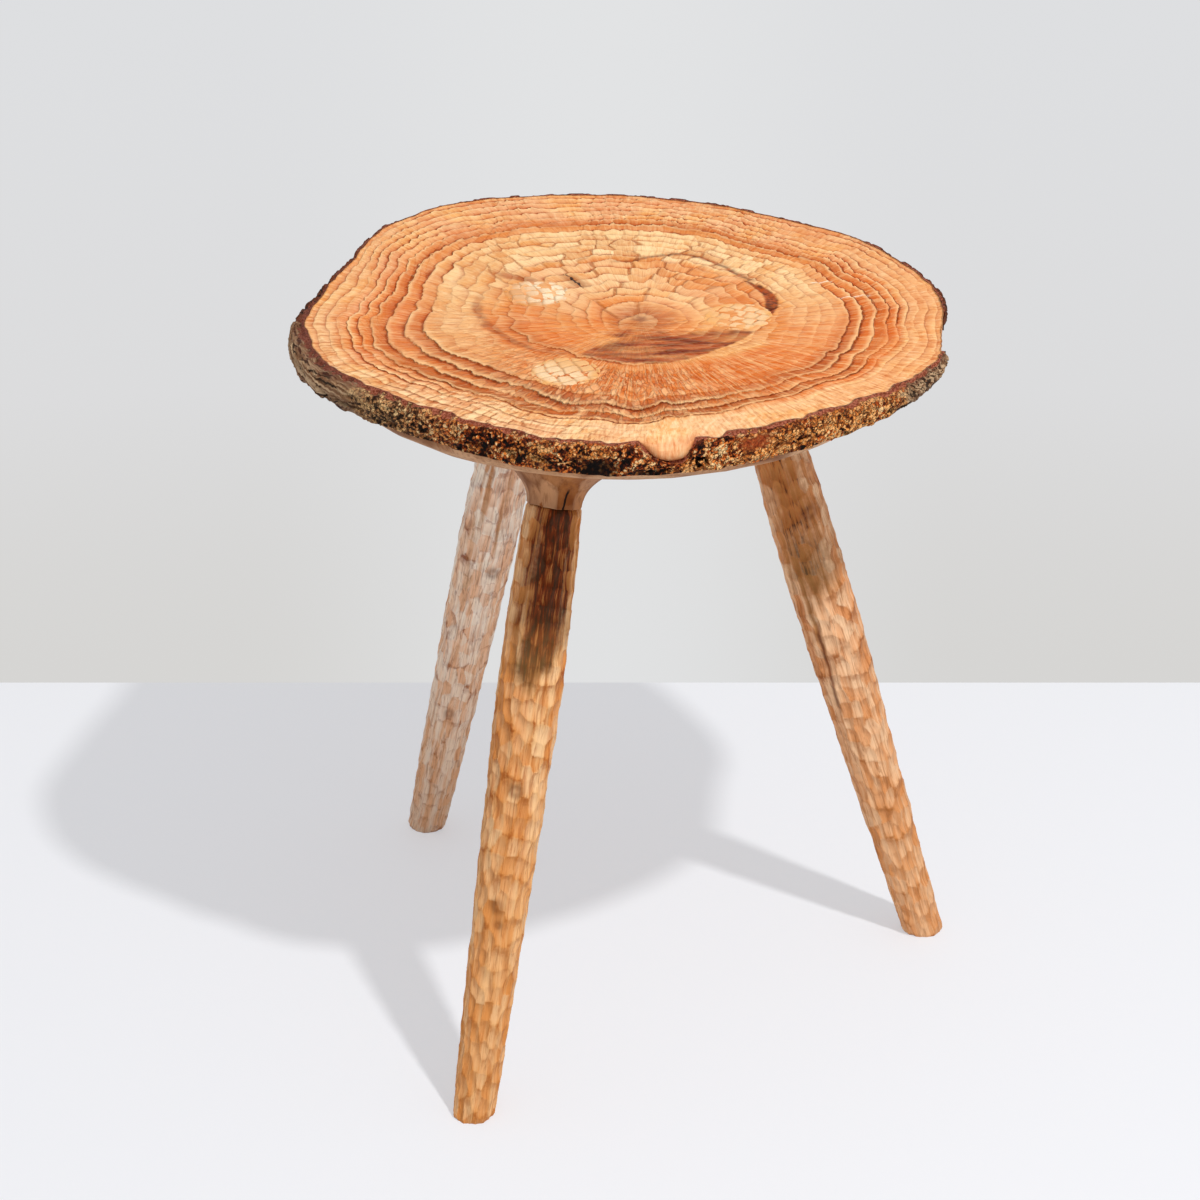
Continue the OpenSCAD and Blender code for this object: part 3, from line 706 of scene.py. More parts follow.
def bark(name, start, stop, thick, kind, worn, seed=100):
    """A stretch of bark: a rounded slab bent round the rim from start to stop. The outer face of thin
    bark is cracked. That of thick bark is broken up by coarse lumps and grains, or by slanting cracks
    where it is a smooth plate, at the far left and right, and it has pits and one red place where it
    came off. The two ends are worn down over the given lengths in millimetres."""
    seam = math.degrees(0.06 / SEAT_SPAN)
    start, stop = start + seam, stop - seam
    length = math.radians(stop - start) * SEAT_SPAN / 2
    stations = int(min(680, max(60, length / 0.34)))
    count = (16, 56, 10, 14) if stations > 560 else (18, 62, 12, 16)
    o = np.concatenate([np.linspace(0, 1, count[0], endpoint=False), np.ones(count[1]),
                        np.linspace(1, 0, count[2], endpoint=False), np.zeros(count[3])])
    h = np.concatenate([np.ones(count[0]), np.linspace(1, 0, count[1], endpoint=False),
                        np.zeros(count[2]), np.linspace(0, 1, count[3], endpoint=False)])
    turn, h = grid(np.linspace(start, stop, stations), h)
    o = np.broadcast_to(o, turn.shape)
    radians = np.radians(turn)
    reach = rim_reach(turn) + BARK_FIT
    low = rim_low(turn) - BARK_HANG
    high = bark_top(turn) - low
    thick = thick + LEFT_BULGE * np.maximum(0, np.cos(np.radians(turn - BULGE_TURN))) ** BULGE_POWER
    thick = thick * np.interp(h, *BARK_PROFILE)
    bent = spot(reach + o * thick, turn, h * high)
    straight = np.stack([radians * reach, o * thick, h * high], -1)
    ragged = 1.6 * noise(bent, 5, seed + 1) + 0.8 * noise(bent, 2, seed + 2)
    from_ends = [(turn - start) * math.pi / 180 * reach, (stop - turn) * math.pi / 180 * reach]
    ends = 1
    for way, wide in zip(from_ends, worn):
        ends = ends * (ease(way + ragged * min(1, wide / 4), 0, wide) if wide else 1)
    outer = ease(o, 0.6, 1)
    belt = 1 - 0.4 * (1 - ease(h, 0, 0.12)) - 0.25 * ease(h, 0.9, 1)
    lumps = roughness_noise(bent, 18, 3, seed)
    if kind == "thin":
        crack = np.abs(noise(straight * [1, 1, 0.4], 7, seed + 4))
        near, grain = crystals(bent, 4, seed + 3)
        crest = ease(crack, 0, 0.3) * np.clip(1.1 - near, 0, 1)
        push = 0.8 * lumps + 1.1 * crest - 0.8 + 0.3 * noise(bent, 1.1, seed + 8)
        smooth = np.zeros_like(turn)
    else:
        near, chunk = crystals(bent + 1.5 * noise(bent, 6, seed + 7)[..., None], 9, seed + 6)
        small, grain = crystals(bent + 0.6 * noise(bent, 4, seed + 7)[..., None], 2.4, seed + 3)
        crest = np.clip(1.15 - 1.15 * small, 0, 1) * (0.4 + 0.6 * grain)
        push = 2.6 * lumps + 2.8 * np.clip(0.9 - near, 0, 1) * (chunk - 0.3) + 1.4 * crest \
            + 0.4 * noise(bent, 1.1, seed + 8) - 1.6
        grain = 0.7 * chunk + 0.3 * np.clip(0.5 + 0.7 * lumps, 0, 1)
        slant = straight @ np.array([[0.3, 0, 0.12], [0, 1, 0], [0.55, 0, 0.3]])
        crack = np.abs(noise(slant, 1.8, seed + 4)) + 0.4 * noise(straight, 1.6, seed + 5)
        flat_crest = ease(crack, 0, 0.3)
        flat_grain = 0.5 + 0.5 * noise(slant, 0.7, seed + 6)
        flat_push = 1.2 * lumps + 1.2 * flat_crest - 1.5 + 0.5 * flat_grain + 0.2 * noise(bent, 1.2, seed + 8)
        left, right = 1 - ease(turn + 3 * ragged / 2.4, 208, 215), ease(turn + 2 * ragged / 2.4, 327, 330)
        smooth = np.maximum(left, right)
        crest, grain, push = (rough + (flat - rough) * smooth for rough, flat in
                              ((crest, flat_crest), (grain, flat_grain), (push, flat_push)))
    pit = pane(turn, h, *PIT)
    knot = np.hypot((turn - KNOT_TURN) * KNOT_STRETCH, h * high - KNOT_HEIGHT)
    pit = np.maximum(pit, np.exp(-(knot - KNOT_REACH) ** 2))
    pit = np.maximum(pit, 0.75 * ease(noise(bent, 9, seed + 20), 0.3, 0.65) * ease(0.55 - h, 0, 0.35))
    red = pane(turn, h, *RED_PLACE)
    push = push * (1 - red) - 3.2 * pit - 2.4 * red
    bump = np.clip(push * belt, -0.7 * thick, BARK_RIDGE) - 0.6 * thick * (1 - ends)
    radius = reach + wood_edge(turn) * (1 - o) + o * thick + outer * bump * np.minimum(1, thick / 5)
    radius = np.maximum(radius, reach + wood_edge(turn) + 0.05 + 0.3 * o)
    jag = 1.4 * noise(bent, 7, seed + 10) + 0.9 * noise(bent, 2.5, seed + 11)
    low_edge = np.maximum(0, 1.6 + 2.2 * jag) * outer
    crown = 1.0 + 1.7 * noise(bent * [1, 1, 0], 7, seed + 12) + 1.1 * noise(bent, 2.4, seed + 13)
    crown = crown * ease(o, 0.1, 0.4)
    height = low + h * (high - np.maximum(0.05, crown)) + low_edge * (1 - h)
    fields = {"crest": crest, "grain": grain, "outer": o, "upper": ease(h, 0.975, 1), "rise": h, "pit": pit,
              "red": red, "smooth": smooth}
    return tube(name, spot(radius, turn, height), fields=fields)


# Finishes

def paint(code):
    """A colour written as red, green and blue in pairs of hex digits, made linear."""
    parts = [int(code[i:i + 2], 16) / 255 for i in (0, 2, 4)]
    return (*(c / 12.92 if c <= 0.04045 else ((c + 0.055) / 1.055) ** 2.4 for c in parts), 1)


class Value:
    """A node's output. Arithmetic on it adds Math nodes to its finish."""

    def __init__(self, finish, socket):
        self.finish = finish
        self.socket = socket

    def math(self, operation, *others):
        return self.finish.node("Math", {"operation": operation}, dict(enumerate((self, *others))))

    def __add__(self, other):
        return self.math("ADD", other)

    def __sub__(self, other):
        return self.math("SUBTRACT", other)

    def __mul__(self, other):
        return self.math("MULTIPLY", other)

    def __truediv__(self, other):
        return self.math("DIVIDE", other)

    def __rsub__(self, other):
        return self.finish.node("Math", {"operation": "SUBTRACT"}, {0: other, 1: self})

    __radd__ = __add__
    __rmul__ = __mul__


class Finish:
    """A material in the making, or the world's light where one is given."""

    def __init__(self, name, owner=None):
        self.material = owner or bpy.data.materials.new(name)
        self.material.use_nodes = True
        self.tree = self.material.node_tree
        self.tree.nodes.clear()

    def node(self, kind, settings=None, sockets=None, output=0):
        """Adds a node: its settings first, a ramp's stops among them, then its sockets."""
        made = self.tree.nodes.new("ShaderNode" + kind)
        for key, value in (settings or {}).items():
            if key == "stops":
                ramp = made.color_ramp
                while len(ramp.elements) < len(value):
                    ramp.elements.new(1)
                for element, (position, code) in zip(ramp.elements, value):
                    element.position = position
                    element.color = paint(code)
            else:
                setattr(made, key, value)
        for key, value in (sockets or {}).items():
            if isinstance(value, Value):
                self.tree.links.new(value.socket, made.inputs[key])
            else:
                made.inputs[key].default_value = value
        return Value(self, made.outputs[output])

    def fields(self, *names):
        """Numbers that the piece carries at its points."""
        return [self.node("Attribute", {"attribute_name": name}, output=2) for name in names]

    def vector(self, operation, *inputs, output=0):
        """Arithmetic on coordinates."""
        return self.node("VectorMath", {"operation": operation}, dict(enumerate(inputs)), output)

    def position(self):
        """Object coordinates in millimetres."""
        where = self.node("TexCoord", output=3)
        return self.node("VectorMath", {"operation": "SCALE"}, {0: where, "Scale": 1000})

    def parts(self, vector):
        """The three coordinates of a vector."""
        return [self.node("SeparateXYZ", {}, {0: vector}, axis) for axis in (0, 1, 2)]

    def point(self, x, y, z):
        return self.node("CombineXYZ", {}, {0: x, 1: y, 2: z})

    def stretch(self, vector, factors):
        return self.vector("MULTIPLY", vector, factors)

    def speckle(self, vector, size, detail=2, rough=0.5, twist=0):
        return self.node("TexNoise", {}, {"Vector": vector, "Scale": 1 / size, "Detail": detail,
                                         "Roughness": rough, "Distortion": twist})

    def chance(self, x, y):
        """A random number for each pair of numbers."""
        return self.node("TexWhiteNoise", {"noise_dimensions": "2D"}, {"Vector": self.point(x, y, 0)})

    def grains(self, vector, size):
        """Grains of a size: a random number for each, and the distance to the nearest edge."""
        sockets = {"Vector": vector, "Scale": 1 / size}
        tones = self.node("TexVoronoi", {"feature": "F1"}, sockets, 1)
        edges = self.node("TexVoronoi", {"feature": "DISTANCE_TO_EDGE"}, sockets)
        return self.node("SeparateColor", {}, {0: tones}), edges

    def ease(self, value, low, high, start=0, end=1):
        """Smooth step between two values. It falls where start is above end."""
        return self.node("MapRange", {"interpolation_type": "SMOOTHSTEP"},
                         {"Value": value, "From Min": low, "From Max": high, "To Min": start, "To Max": end})

    def mix(self, share, first, second):
        """Two colours mixed, each a code or a node's output."""
        first, second = (paint(one) if isinstance(one, str) else one for one in (first, second))
        return self.node("Mix", {"data_type": "RGBA"}, {0: share, 6: first, 7: second}, 2)

    def coats(self, colour, *coats):
        """Colours laid over one another, each by its own share."""
        for share, over in coats:
            colour = self.mix(share, colour, over)
        return colour

    def ramp(self, value, stops):
        return self.node("ValToRGB", {"stops": stops}, {0: value})

    def finish(self, colour, roughness, height, depth=0.5, gloss=0.4):
        """Colour, roughness and a bump of the given depth in millimetres, on the usual shader."""
        bump = self.node("Bump", {}, {"Strength": 1.0, "Distance": depth / 1000, "Height": height})
        shader = self.node("BsdfPrincipled", {}, {"Base Color": colour, "Roughness": roughness,
                                                 "Specular IOR Level": gloss, "Normal": bump})
        return self.done(shader)

    def done(self, shader, kind="Material"):
        """Joins a shader to the output, which ends the finish."""
        output = self.tree.nodes.new("ShaderNodeOutput" + kind)
        self.tree.links.new(shader.socket, output.inputs[0])
        return self.material


# About the pith: where the fibres meet, the short crack, and place and half length of each scratch.
# A slope is how far x falls as y grows for the crack, and how far y grows with x for the scratches.
FIBRES_MEET = (4, 14)
CRACK_AT = (-36.5, 76)
CRACK_SLOPE = 0.5
SCRATCHES = ((118, 71.5, 8), (137, 47.5, 12))
SCRATCH_SLOPE = 0.16


def carved_top_finish():
    """End grain in rings. Outside each ring line the colour is dark and grows paler outward, up to a pale
    band just before the next line: painted shade of the step down at each line, and a painted highlight on
    each ring's crest. Fine fibres and pale rays run across, over stains that lie in patches between rings.
    Near the pith and in the red-brown stains the fibres run from side to side, and behind the tongue
    there are few lines but long pale strokes."""
    f = Finish("carved end grain")
    where = f.position()
    x, y, _ = f.parts(f.vector("SUBTRACT", where, (*PITH, 0)))
    around, ring, _ = f.parts(f.node("UVMap", {"uv_map": "rings"}))
    ring = ring * LAST_RING
    band, past = ring.math("FLOOR"), ring.math("FRACT")
    count = CELL_STEPS[0][1]
    for start, extra in CELL_STEPS[1:]:
        count = band.math("GREATER_THAN", start - 0.5) * extra + count
    from_meeting = f.point(x - FIBRES_MEET[0], y - FIBRES_MEET[1], 0)
    from_pith = f.vector("LENGTH", from_meeting, output=1)
    east, north, _ = f.parts(f.vector("NORMALIZE", from_meeting))
    phase = around * count + band * CELL_SHIFT - north.math("MINIMUM", 0) * past * SLANT
    to_ray = phase.math("PINGPONG", 0.5) * from_pith * (2 * math.pi) / count
    orange, rust, cream, rose, line, ray, side, deep, front, calm = f.fields(
        "orange", "rust", "cream", "rose", "line", "ray", "side", "deep", "front", "calm")

    def fan(spokes, outward, detail, rough=0.5, twist=0):
        """Speckle in fine spokes round the meeting place of the fibres."""
        return f.speckle(f.point(east * spokes, north * spokes, outward), 1, detail, rough, twist)

    fleck, blotch = f.speckle(where, 3.5, 3), f.speckle(where, 26, 3)
    fibre, broad = fan(95, ring * 0.5, 3, 0.65), fan(22, ring * 0.45, 3, 0.6)
    mottle, moody = fan(34, ring * 1.4, 4, 0.7, 0.5), fan(2.2, band * 3.3, 2)
    level = f.ease(from_pith, 20, 60, 1, 0).math("MAXIMUM", rust)
    fibre = fibre + (f.speckle(f.stretch(where, (0.22, 1, 0)), 2.2, 3, 0.65) - fibre) * level
    broad = broad + (f.speckle(f.stretch(where, (0.2, 1, 0)), 6, 3, 0.6) - broad) * level
    strokes = f.speckle(f.point(around * 260 + ring * 0.6, ring * 0.35, 0), 1)
    scale_tone, scale_gap = f.grains(f.point(around * 150 + fleck * 0.7, ring * 1.6 + fleck * 0.7, 0), 1)
    scale_edge = f.ease(scale_gap, 0.02, 0.13, 1, 0) * front
    cell = f.chance(phase.math("FLOOR"), band)
    gap = f.chance((phase + 0.5).math("FLOOR"), band + 0.5)
    even = f.ease(north, -0.3, 0.5, 1, 0.45) * (1 - calm * 0.4)
    streaky = f.ease(fibre * 0.5 + broad * 0.5, 0.38, 0.6)

    # worn: the place across the ring, made uneven by speckle; the ring lines and the painted shade band are
    # drawn from it
    worn = past + (fleck - 0.5) * 0.2
    strength = line * f.ease(moody, 0.36, 0.6, 0.35, 1)
    broken = f.ease(fleck, 0.3, 0.55, 0.35, 1)
    line_width = f.ease(north, 0, 1, 0.19, 0.25)
    ring_line = f.ease(worn, 0.03, line_width, 1, 0).math("MAXIMUM", f.ease(past, 0.94, 1))
    ring_line = ring_line * f.ease(strength, 0.1, 0.75) * broken
    ray_line = f.ease(to_ray, 0.25, 0.9, 1, 0) * ray * f.ease(gap, 0.1, 0.45) * broken
    pith = f.ease(from_pith + (fleck - 0.5) * 9 + (fibre - 0.5) * 12, 1, 7, 1, 0)
    crack_x, crack_y = x - CRACK_AT[0], y - CRACK_AT[1]
    off_crack = (crack_x + crack_y * CRACK_SLOPE + (fleck - 0.5) * 7).math("ABSOLUTE")
    on_crack = f.ease(crack_y.math("ABSOLUTE"), 7, 13, 1, 0)

    colour = f.coats(
        f.mix(f.ease(blotch, 0.35, 0.68), "eea962", "e28d47"),
        (cream * f.ease(blotch + (fleck - 0.5) * 0.5, 0.25, 0.5), "f6cd92"),
        (rose * f.ease(blotch, 0.3, 0.6), "e6a377"),
        (f.ease(cell, 0.3, 1, 0, 0.7) * (0.08 + ray), "ffe0ac"),
        (f.ease(cell, 0.5, 0, 0, 0.5) * (0.08 + ray), "cc7838"),
        (f.ease(mottle, 0.52, 0.66) * 0.3, "c8691f"),
        (f.ease(mottle, 0.47, 0.34) * 0.35, "ffdca6"),
        (f.ease(strokes, 0.5, 0.62) * calm * 0.45, "ffe0b0"),
        (f.ease(strokes, 0.46, 0.34) * calm * 0.35, "d88c4a"),
        (f.ease(fibre, 0.5, 0.66) * even * 0.6, "b4591f"),
        (f.ease(fibre, 0.46, 0.32) * even * 0.55, "ffe2b0"),
        (orange * (0.5 + streaky * 0.5), "d86206"),
        (rust * (0.85 + streaky * 0.15), f.mix(f.ease(broad, 0.4, 0.58), "a8461a", "6c2208")),
        (front * f.ease(scale_tone, 0.55, 0.9) * 0.5, "fcc890"),
        (front * f.ease(scale_tone, 0.4, 0.1) * 0.35, "b04c16"),
        (scale_edge * 0.3, "8a3a10"),
        # Painted shade: the dark band that starts at each ring line and fades outward stands for the shade of
        # the step down at the line
        (f.ease(worn, 0.05, 0.55, 1, 0) * strength * (0.6 + streaky * 0.4), "b8480e"),
        # Painted highlight: the pale band just before each ring line stands for light on the ring's crest
        (f.ease(past, 0.55, 0.95) * strength * 0.7, "ffd79c"),
        # Painted highlight: pale glints over the orange stains
        (f.ease(fan(60, ring * 0.22, 2), 0.57, 0.65) * orange * 0.5, "f8c487"),
        (ring_line * 0.85, f.mix(rust + orange * 0.5, "9a4010", "551a04")),
        (ray_line * 0.85, "a8541c"),
        # The crescent: dark wood with the painted shade of its carved hollow
        (deep * (0.75 + broad * 0.3), f.mix(f.ease(fleck, 0.4, 0.6), "a03c06", "561804")),
        (pith * 0.7, "7e4028"),
        (f.ease(off_crack, 1, 9, 1, 0) * on_crack * 0.6, "9a5a30"),
        (f.ease(off_crack, 0.5, 1.4, 1, 0) * on_crack, "2b160d"),
        (side * 0.85, f.mix(f.ease(fleck, 0.4, 0.6), "d8925a", "b06a3c")))
    for scratch_x, scratch_y, reach in SCRATCHES:
        away = x - scratch_x
        off_scratch = (y - scratch_y - away * SCRATCH_SLOPE).math("ABSOLUTE")
        scratch = f.ease(off_scratch, 0.3, 1, 1, 0) * f.ease(away.math("ABSOLUTE"), reach - 3, reach, 1, 0)
        colour = f.mix(scratch * 0.6, colour, "fff0d6")
    height = past * line * 0.6 - ring_line * 0.8 - ray_line * 0.7 - scale_edge * 0.6
    height = height + fibre * 0.4 + fleck * 0.3
    return f.finish(colour, f.ease(fibre, 0.2, 0.8, 0.4, 0.58), height, 0.9, 0.08)


# The split in the front boss: x = slope * z - offset, below a height and in front of a place
SPLIT_SLOPE = 0.28
SPLIT_OFFSET = 145.7
SPLIT_TOP = 388
SPLIT_BACK = -100


def underside_finish(name, pale, dark, split=0):
    """Long grain under the seat, duller than the top, darker between the gouge marks. The front boss
    has split, along a line that leans to the right."""
    f = Finish(name)
    where = f.position()
    grain = f.speckle(f.stretch(where, (1, 1, 0.12)), 2.2, 3, 0.65)
    blotch = f.speckle(where, 18, 3)
    hollow, mark = f.fields("hollow", "mark")
    x, y, z = f.parts(where)
    off_split = (x - z * SPLIT_SLOPE + SPLIT_OFFSET + (blotch - 0.5) * 6).math("ABSOLUTE")
    crack = f.ease(off_split, 0.35, 0.9, split, 0) * f.ease(y, SPLIT_BACK - 4, SPLIT_BACK, 1, 0) \
        * f.ease(z, SPLIT_TOP - 4, SPLIT_TOP, 1, 0)
    colour = f.coats(
        f.mix(f.ease(blotch, 0.35, 0.65), pale, dark),
        (mark * 0.45, "e2b48a"),
        (f.ease(hollow, 0.2, 0.6, 0.7, 0), "6e3c1c"),
        (f.ease(grain, 0.45, 0.7) * 0.55, "74411f"),
        (crack, "1c0c06"))
    return f.finish(colour, 0.55, grain * 0.7 + blotch * 0.3 - hollow - crack, 0.8, 0.08)


def leg_finish(name, pale, middle, dark, stain_and_shade_tone):
    """Long grain over gouge marks: a brown edge round each mark, pale in the middle of some marks as painted
    light and brown at the upper end of some as painted shade, and dark stains where the heartwood shows, with
    painted shade of the seat over the upper ends of the legs."""
    f = Finish(name)
    where = f.position()
    around, along, _ = f.parts(f.node("UVMap", {"uv_map": "length"}))
    turn = around * (2 * math.pi)
    skin = f.point(turn.math("COSINE") * 17, turn.math("SINE") * 17, along * 24)
    fibre = f.speckle(skin, 1.2, 3, 0.65)
    streak = f.speckle(skin, 4.5, 3, 0.6, 0.4)
    grain = f.speckle(f.stretch(skin, (1, 1, 1.6)), 2.8, 4, 0.65, 1.5)
    blotch = f.speckle(where, 20, 3)
    fine = f.speckle(where, 2.4, 3)
    hollow, offset, mark, shade, scar = f.fields("hollow", "offset", "mark", "shade", "scar")
    edge = f.ease(hollow + (fine - 0.5) * 0.5, 0.14, 0.45, 1, 0)
    # mark_end: the upper end of a gouge mark, where its facet faces down; it carries painted shade
    mark_end = f.ease(offset + (fine - 0.5) * 0.6, 0.14, 0.5) * f.ease(hollow, 0.2, 0.5)
    # Dark stains and the seat's painted shade share one dark ramp
    stain_and_shade_share = f.ease(shade + (fine - 0.5) * 0.2 + (streak - 0.5) * 1.1, 0.15, 0.72)
    tone = hollow * 0.4 + mark * 0.4 + (fibre + grain) * 1.6 - shade * 0.75 - 0.8
    below = f.ramp(tone, ((0.4, "340c00"), (0.7, stain_and_shade_tone), (1, "b4763e")))
    colour = f.coats(
        f.mix(f.ease(streak * 0.8 + mark * 0.2, 0.36, 0.62), pale, middle),
        # Painted light: pale in the middle of some gouge marks
        ((1 - mark) * f.ease(hollow, 0.3, 0.8) * 0.25, "ffe2bc"),
        (edge * f.ease(streak, 0.36, 0.52, 0.3, 0.9), dark),
        # Painted shade: brown at the upper end of some gouge marks
        (mark_end * f.ease(blotch, 0.45, 0.6) * 0.5, dark),
        (f.ease(grain, 0.5, 0.64) * 0.5, dark),
        (f.ease(fibre, 0.5, 0.7) * 0.25, dark),
        (f.ease(along, 0.1, 0.7, 0.3, 0), "dc9450"),
        # Dark stains and the seat's painted shade, turning olive lower down
        (stain_and_shade_share * 0.95, f.mix(f.ease(along, 0.68, 0.84, 0.6, 0), below, "7c5c30")),
        (scar * 0.8, "5e2408"))
    height = fibre * 0.5 + hollow * -1.6 + grain * 0.4
    return f.finish(colour, f.ease(fibre, 0.3, 0.7, 0.42, 0.6), height, 1.1, 0.08)


def plug_finish(name, around, bright):
    """Pale end grain in a slanted grid that blends into the top round it."""
    f = Finish(name)
    where = f.position()
    groove, mark, rim, near = f.fields("groove", "mark", "rim", "near")
    blotch = f.speckle(where, 10, 3)
    fine = f.speckle(where, 1.6, 3)
    colour = f.coats(
        f.mix(f.ease(mark * 0.3 + blotch * 0.4 + near * 0.9, 0.42, 0.98, 0.2, 1) * bright, around, "fcebc8"),
        (f.ease(fine, 0.45, 0.65) * 0.3, "d89f62"),
        (f.ease(groove, 0.3, 0.9) * 0.5, "b98858"),
        (rim * f.ease(blotch, 0.35, 0.55), around))
    return f.finish(colour, 0.5, fine * 0.4 - groove, 0.4, 0.12)


# Tones of the grains of bark, from the darkest to the palest
GRAIN_TONES = ((0, "0c0401"), (0.26, "541c08"), (0.44, "a84814"), (0.6, "d86e2c"), (0.78, "ee8e3e"),
               (0.96, "ffd498"))
GRAIN_SIZE = 2.1


def bark_finish(name, kind):
    """Bark: its inner layer is red and shows along the top edge. Thin bark is dark and cracked. The crust of
    thick bark is made of grains of every tone between dark brown and cream, paler where they stand out as a
    painted highlight, with black gaps between them and black pits, both painted shade, and patches of gold,
    and where it is smooth it is a grey-brown plate with dark slanting cracks."""
    f = Finish(name)
    where = f.position()
    x, _, _ = f.parts(where)
    crest, grain, outer, upper, rise = f.fields("crest", "grain", "outer", "upper", "rise")
    blotch = f.speckle(where, 22, 3)
    coarse = f.speckle(where, 5, 3, 0.6)
    fine = f.speckle(where, 1.3, 4, 0.7)
    if kind == "thin":
        colour = f.coats(
            f.mix(f.ease(coarse, 0.35, 0.65), "40200f", "6d3823"),
            (f.ease(crest, 0, 0.35, 1, 0), "160a06"),
            (f.ease(fine, 0.55, 0.7) * 0.6, "9a6844"))
    else:
        tone, gap = f.grains(f.vector("ADD", where, f.point(fine * 3.5, coarse * 6, fine * 3.5)), GRAIN_SIZE)
        right, left = f.ease(x, 20, 90), f.ease(x, -150, -95, 1, 0)
        # Painted highlight: raised grains (crest) are paler
        level = tone + (coarse - 0.5) * 2.2 + (grain - 0.5) * 0.6 + (crest - 0.3) * 0.9 + right * 0.2 - 0.04
        level = level + (blotch - 0.5) * 1.1
        gold = f.ease(f.speckle(where, 15) + (tone - 0.5) * 0.2 + right * 0.1, 0.5, 0.6)
        smooth, red, pit = f.fields("smooth", "red", "pit")
        plate = f.coats(
            f.mix(f.ease(grain + (fine - 0.5) * 0.5, 0.3, 0.7), "7e583c", "ccaa84"),
            (f.ease(blotch, 0.4, 0.65) * 0.5, "94704e"),
            (f.ease(crest, 0.1, 0.7, 0.9, 0), "24140c"),
            (f.ease(rise + (coarse - 0.5) * 0.3, 0.9, 0.98) * 0.5, "54291b"),
            (f.ease(rise + (coarse - 0.5) * 0.6, 0.3, 0.1) * 0.6, "4a281a"))
        colour = f.coats(
            f.ramp(level, GRAIN_TONES),
            (gold * 0.6, f.mix(level, "6a2408", "fca650")),
            (f.ease(rise + (coarse - 0.5) * 1.2, 0.7, 0.95) * 0.35, "8a3c20"),
            (left * 0.6, f.mix(level, "34200f", "dcb880")),
            # Painted shade: the gaps between the grains are near black
            (f.ease(gap + (fine - 0.5) * 0.4, 0, 0.17, 0.95, 0), "0f0603"),
            (smooth, plate),
            (red * 0.9, f.mix(f.ease(fine, 0.4, 0.6), "a84a22", "6a240c")),
            # Painted shade: the pits and the knot's groove are near black
            (pit * 0.92, "0b0402"))
    inner = f.coats(
        f.mix(f.ease(fine, 0.38, 0.6), "b46a50", "74341e"),
        (f.ease(coarse, 0.5, 0.62) * 0.8, "3c160c"),
        (f.ease(x, -190, -120, 0.6, 0), "5a2c20"))
    edge = outer + (coarse - 0.5) * 2 + (fine - 0.5) * 0.6
    colour = f.mix(upper * f.ease(edge, 0.42, 0.55, 1, 0), colour, inner)
    return f.finish(colour, f.ease(fine, 0.3, 0.7, 0.5, 0.75), fine + coarse * 0.8, 0.9, 0.1)


def plain_wood_finish(name, pale, dark):
    """Long grain for the hidden wedges."""
    f = Finish(name)
    grain = f.speckle(f.stretch(f.position(), (1, 1, 0.1)), 1.5, 3, 0.6)
    return f.finish(f.mix(f.ease(grain, 0.35, 0.65), pale, dark), 0.6, grain, 0.2)


# Of each leg's wood: its pale, middle and dark tones, and the tone of its stains and of the painted shade of
# the seat on it
LEG_COLOURS = {"front": ("efbb80", "d58a48", "9c4c12", "742600"),
               "right": ("f2c296", "d8905a", "96501e", "b46c34"),
               "left": ("fff0de", "f2c09a", "843c14", "9c6840")}
# Of each plug: turn of its cells, colour of the wood round it, brightness, and where its bright side faces
PLUGS = {"front": (25, "e4a866", 0.52, 4.1), "right": (60, "e8a862", 0.38, 0),
         "left": (10, "d8904e", 0.85, 0.3)}

set_down(seat_top(), carved_top_finish(), "seat_wood", "seat_slab")
set_down(seat_underside(), underside_finish("underside wood", "c79a74", "a87650"), "seat_wood", "seat_slab")
boss_wood = underside_finish("boss wood", "aa6a36", "7c3e10", 1)
for number, (key, values) in enumerate(LEGS.items()):
    axis = Axis(*values)
    turned, around, bright, bright_side = PLUGS[key]
    set_down(boss("boss_" + key, axis), boss_wood, "seat_wood", "seat_slab")
    leg_wood = leg_finish("leg wood " + key, *LEG_COLOURS[key])
    set_down(leg("gouged_leg_" + key, axis, 50 + 7 * number), leg_wood, "leg_wood", "leg_" + key)
    plug_wood = plug_finish("plug wood " + key, around, bright)
    disc = plug("pale_plug_" + key, axis, turned, bright_side, 80 + number)
    set_down(disc, plug_wood, "plug_wood", "plug_" + key)
    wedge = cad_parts["wedge_" + key]
    wedge.data.materials.clear()
    wedge.data.materials.append(plain_wood_finish("wedge wood " + key, "8a5f3c", "5e3b22"))

# Of each stretch of bark: from, to, thickness, kind, slot, how far its ends are worn
BARKS = {
    "left": (134, 179, 4, "thin", "bark_dark", (2, 0)),
    "plate_left": (179, 201, 5.5, "thick", "bark_grey", (0, 0)),
    "front": (201, LIP_FROM, 6, "thick", "bark_rough", (0, 0)),
    "lip": (LIP_FROM, LIP_TO, 6, "thick", "bark_rough", (0, 0)),
    "front_right": (LIP_TO, 329, 6, "thick", "bark_rough", (0, 0)),
    "plate_right": (329, 347, 5.5, "thick", "bark_grey", (0, 7)),
    "chip_right": (7, 22, 4, "thin", "bark_dark", (7, 0)),
    "back_right": (22, 103, 2.5, "thin", "bark_dark", (0, 2)),
    "back_left": (103, 128.5, 2.5, "thin", "bark_dark", (2, 2)),
    "chip_rear": (128.5, 134, 2.5, "thin", "bark_dark", (2, 2)),
}
bark_finishes = {kind: bark_finish(kind + " bark", kind) for kind in ("thick", "thin")}
for key, (start, stop, thick, kind, slot, worn) in BARKS.items():
    set_down(bark("crust_" + key, start, stop, thick, kind, worn), bark_finishes[kind], slot, "bark_" + key)


# Table, backdrop, lamps and camera

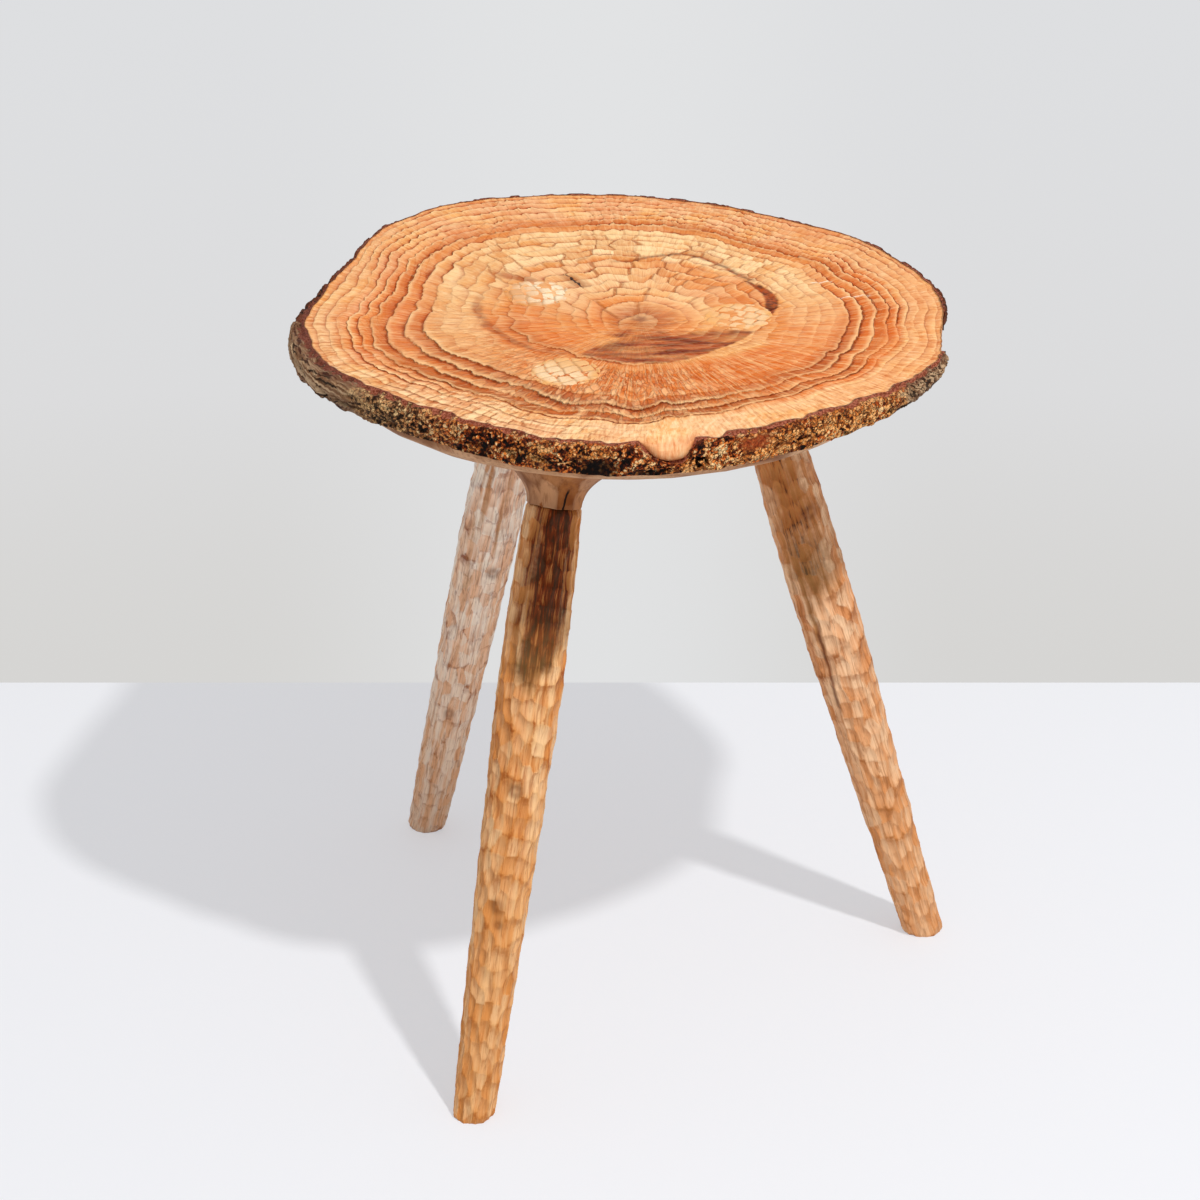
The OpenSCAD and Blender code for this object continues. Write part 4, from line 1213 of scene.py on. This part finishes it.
TABLE_SIDE = 6
TABLE_BACK = 0.372
# The camera of the photograph: its place in metres, its turn up from straight down, its lens
CAMERA_AT = (-0.0191, -2.3462, 1.4376)
CAMERA_TURN = 63.27
CAMERA_LENS = 124.12


def stage_finish():
    """Pale floor: what the camera sees is partly its own light, so that shadows stay light."""
    f = Finish("pale table")
    path = f.node("LightPath")
    shader = f.node("BsdfPrincipled", {}, {"Base Color": paint("f0f1f4"), "Roughness": 0.6,
                                          "Specular IOR Level": 0.2})
    glow = f.node("Emission", {}, {"Color": paint("edeef2"), "Strength": 1.0})
    return f.done(f.node("MixShader", {}, {0: path * 0.5, 1: shader, 2: glow}))


def table():
    """A wide flat top that ends a little behind the stool."""
    mesh = bpy.data.meshes.new("table")
    corners = [(x, y, 0) for x, y in ((-TABLE_SIDE, -TABLE_SIDE), (TABLE_SIDE, -TABLE_SIDE),
                                      (TABLE_SIDE, TABLE_BACK), (-TABLE_SIDE, TABLE_BACK))]
    mesh.from_pydata(corners, [], [(0, 1, 2, 3)])
    made = bpy.data.objects.new("table", mesh)
    bpy.context.scene.collection.objects.link(made)
    mesh.materials.append(stage_finish())


def surroundings(level):
    """Even pale light from all round. The camera, mirrored rays and rays that pass through see a grey
    backdrop, lighter higher up and in the middle."""
    world = bpy.data.worlds.new("studio")
    bpy.context.scene.world = world
    f = Finish("studio", world)
    aside, _, upward = f.parts(f.node("TexCoord"))
    grey = f.ramp(f.ease(upward, -0.47, -0.3), ((0, "d6d5d3"), (0.35, "dcdcdd"), (1, "dedfe1")))
    grey = f.mix(f.ease(aside.math("ABSOLUTE"), 0, 0.09, 0.8, 0), grey, "e3e4e5")
    camera_ray, glossy_ray, passing_ray = (f.node("LightPath", output=number) for number in (0, 3, 6))
    seen = camera_ray.math("MAXIMUM", glossy_ray).math("MAXIMUM", passing_ray)
    backdrop = f.node("Background", {}, {"Color": grey, "Strength": 1.0})
    fill = f.node("Background", {}, {"Color": paint("fdfdff"), "Strength": level})
    f.done(f.node("MixShader", {}, {0: seen, 1: fill, 2: backdrop}), "World")


def lamp(name, place, aim, width, power):
    """A round soft lamp at a place in metres, turned to a point."""
    light = bpy.data.lights.new(name, "AREA")
    light.shape = "DISK"
    light.size = width
    light.energy = power
    made = bpy.data.objects.new(name, light)
    bpy.context.scene.collection.objects.link(made)
    made.location = place
    away = np.array(place) - np.array(aim)
    flat = math.hypot(away[0], away[1])
    made.rotation_euler = (math.atan2(flat, away[2]), 0, math.atan2(away[0], -away[1]))


def camera():
    """The photograph's view: from in front and above, through a long lens."""
    view = bpy.data.cameras.new("view")
    view.lens = CAMERA_LENS
    view.sensor_width = 36
    made = bpy.data.objects.new("view", view)
    bpy.context.scene.collection.objects.link(made)
    made.location = CAMERA_AT
    made.rotation_euler = (math.radians(CAMERA_TURN), 0, 0)
    bpy.context.scene.camera = made


table()
surroundings(0.55)
lamp("key", (0.862, -1.175, 2.78), (0, 0, 0.3), 0.14, 58)
camera()
bpy.context.scene.view_settings.view_transform = "Standard"
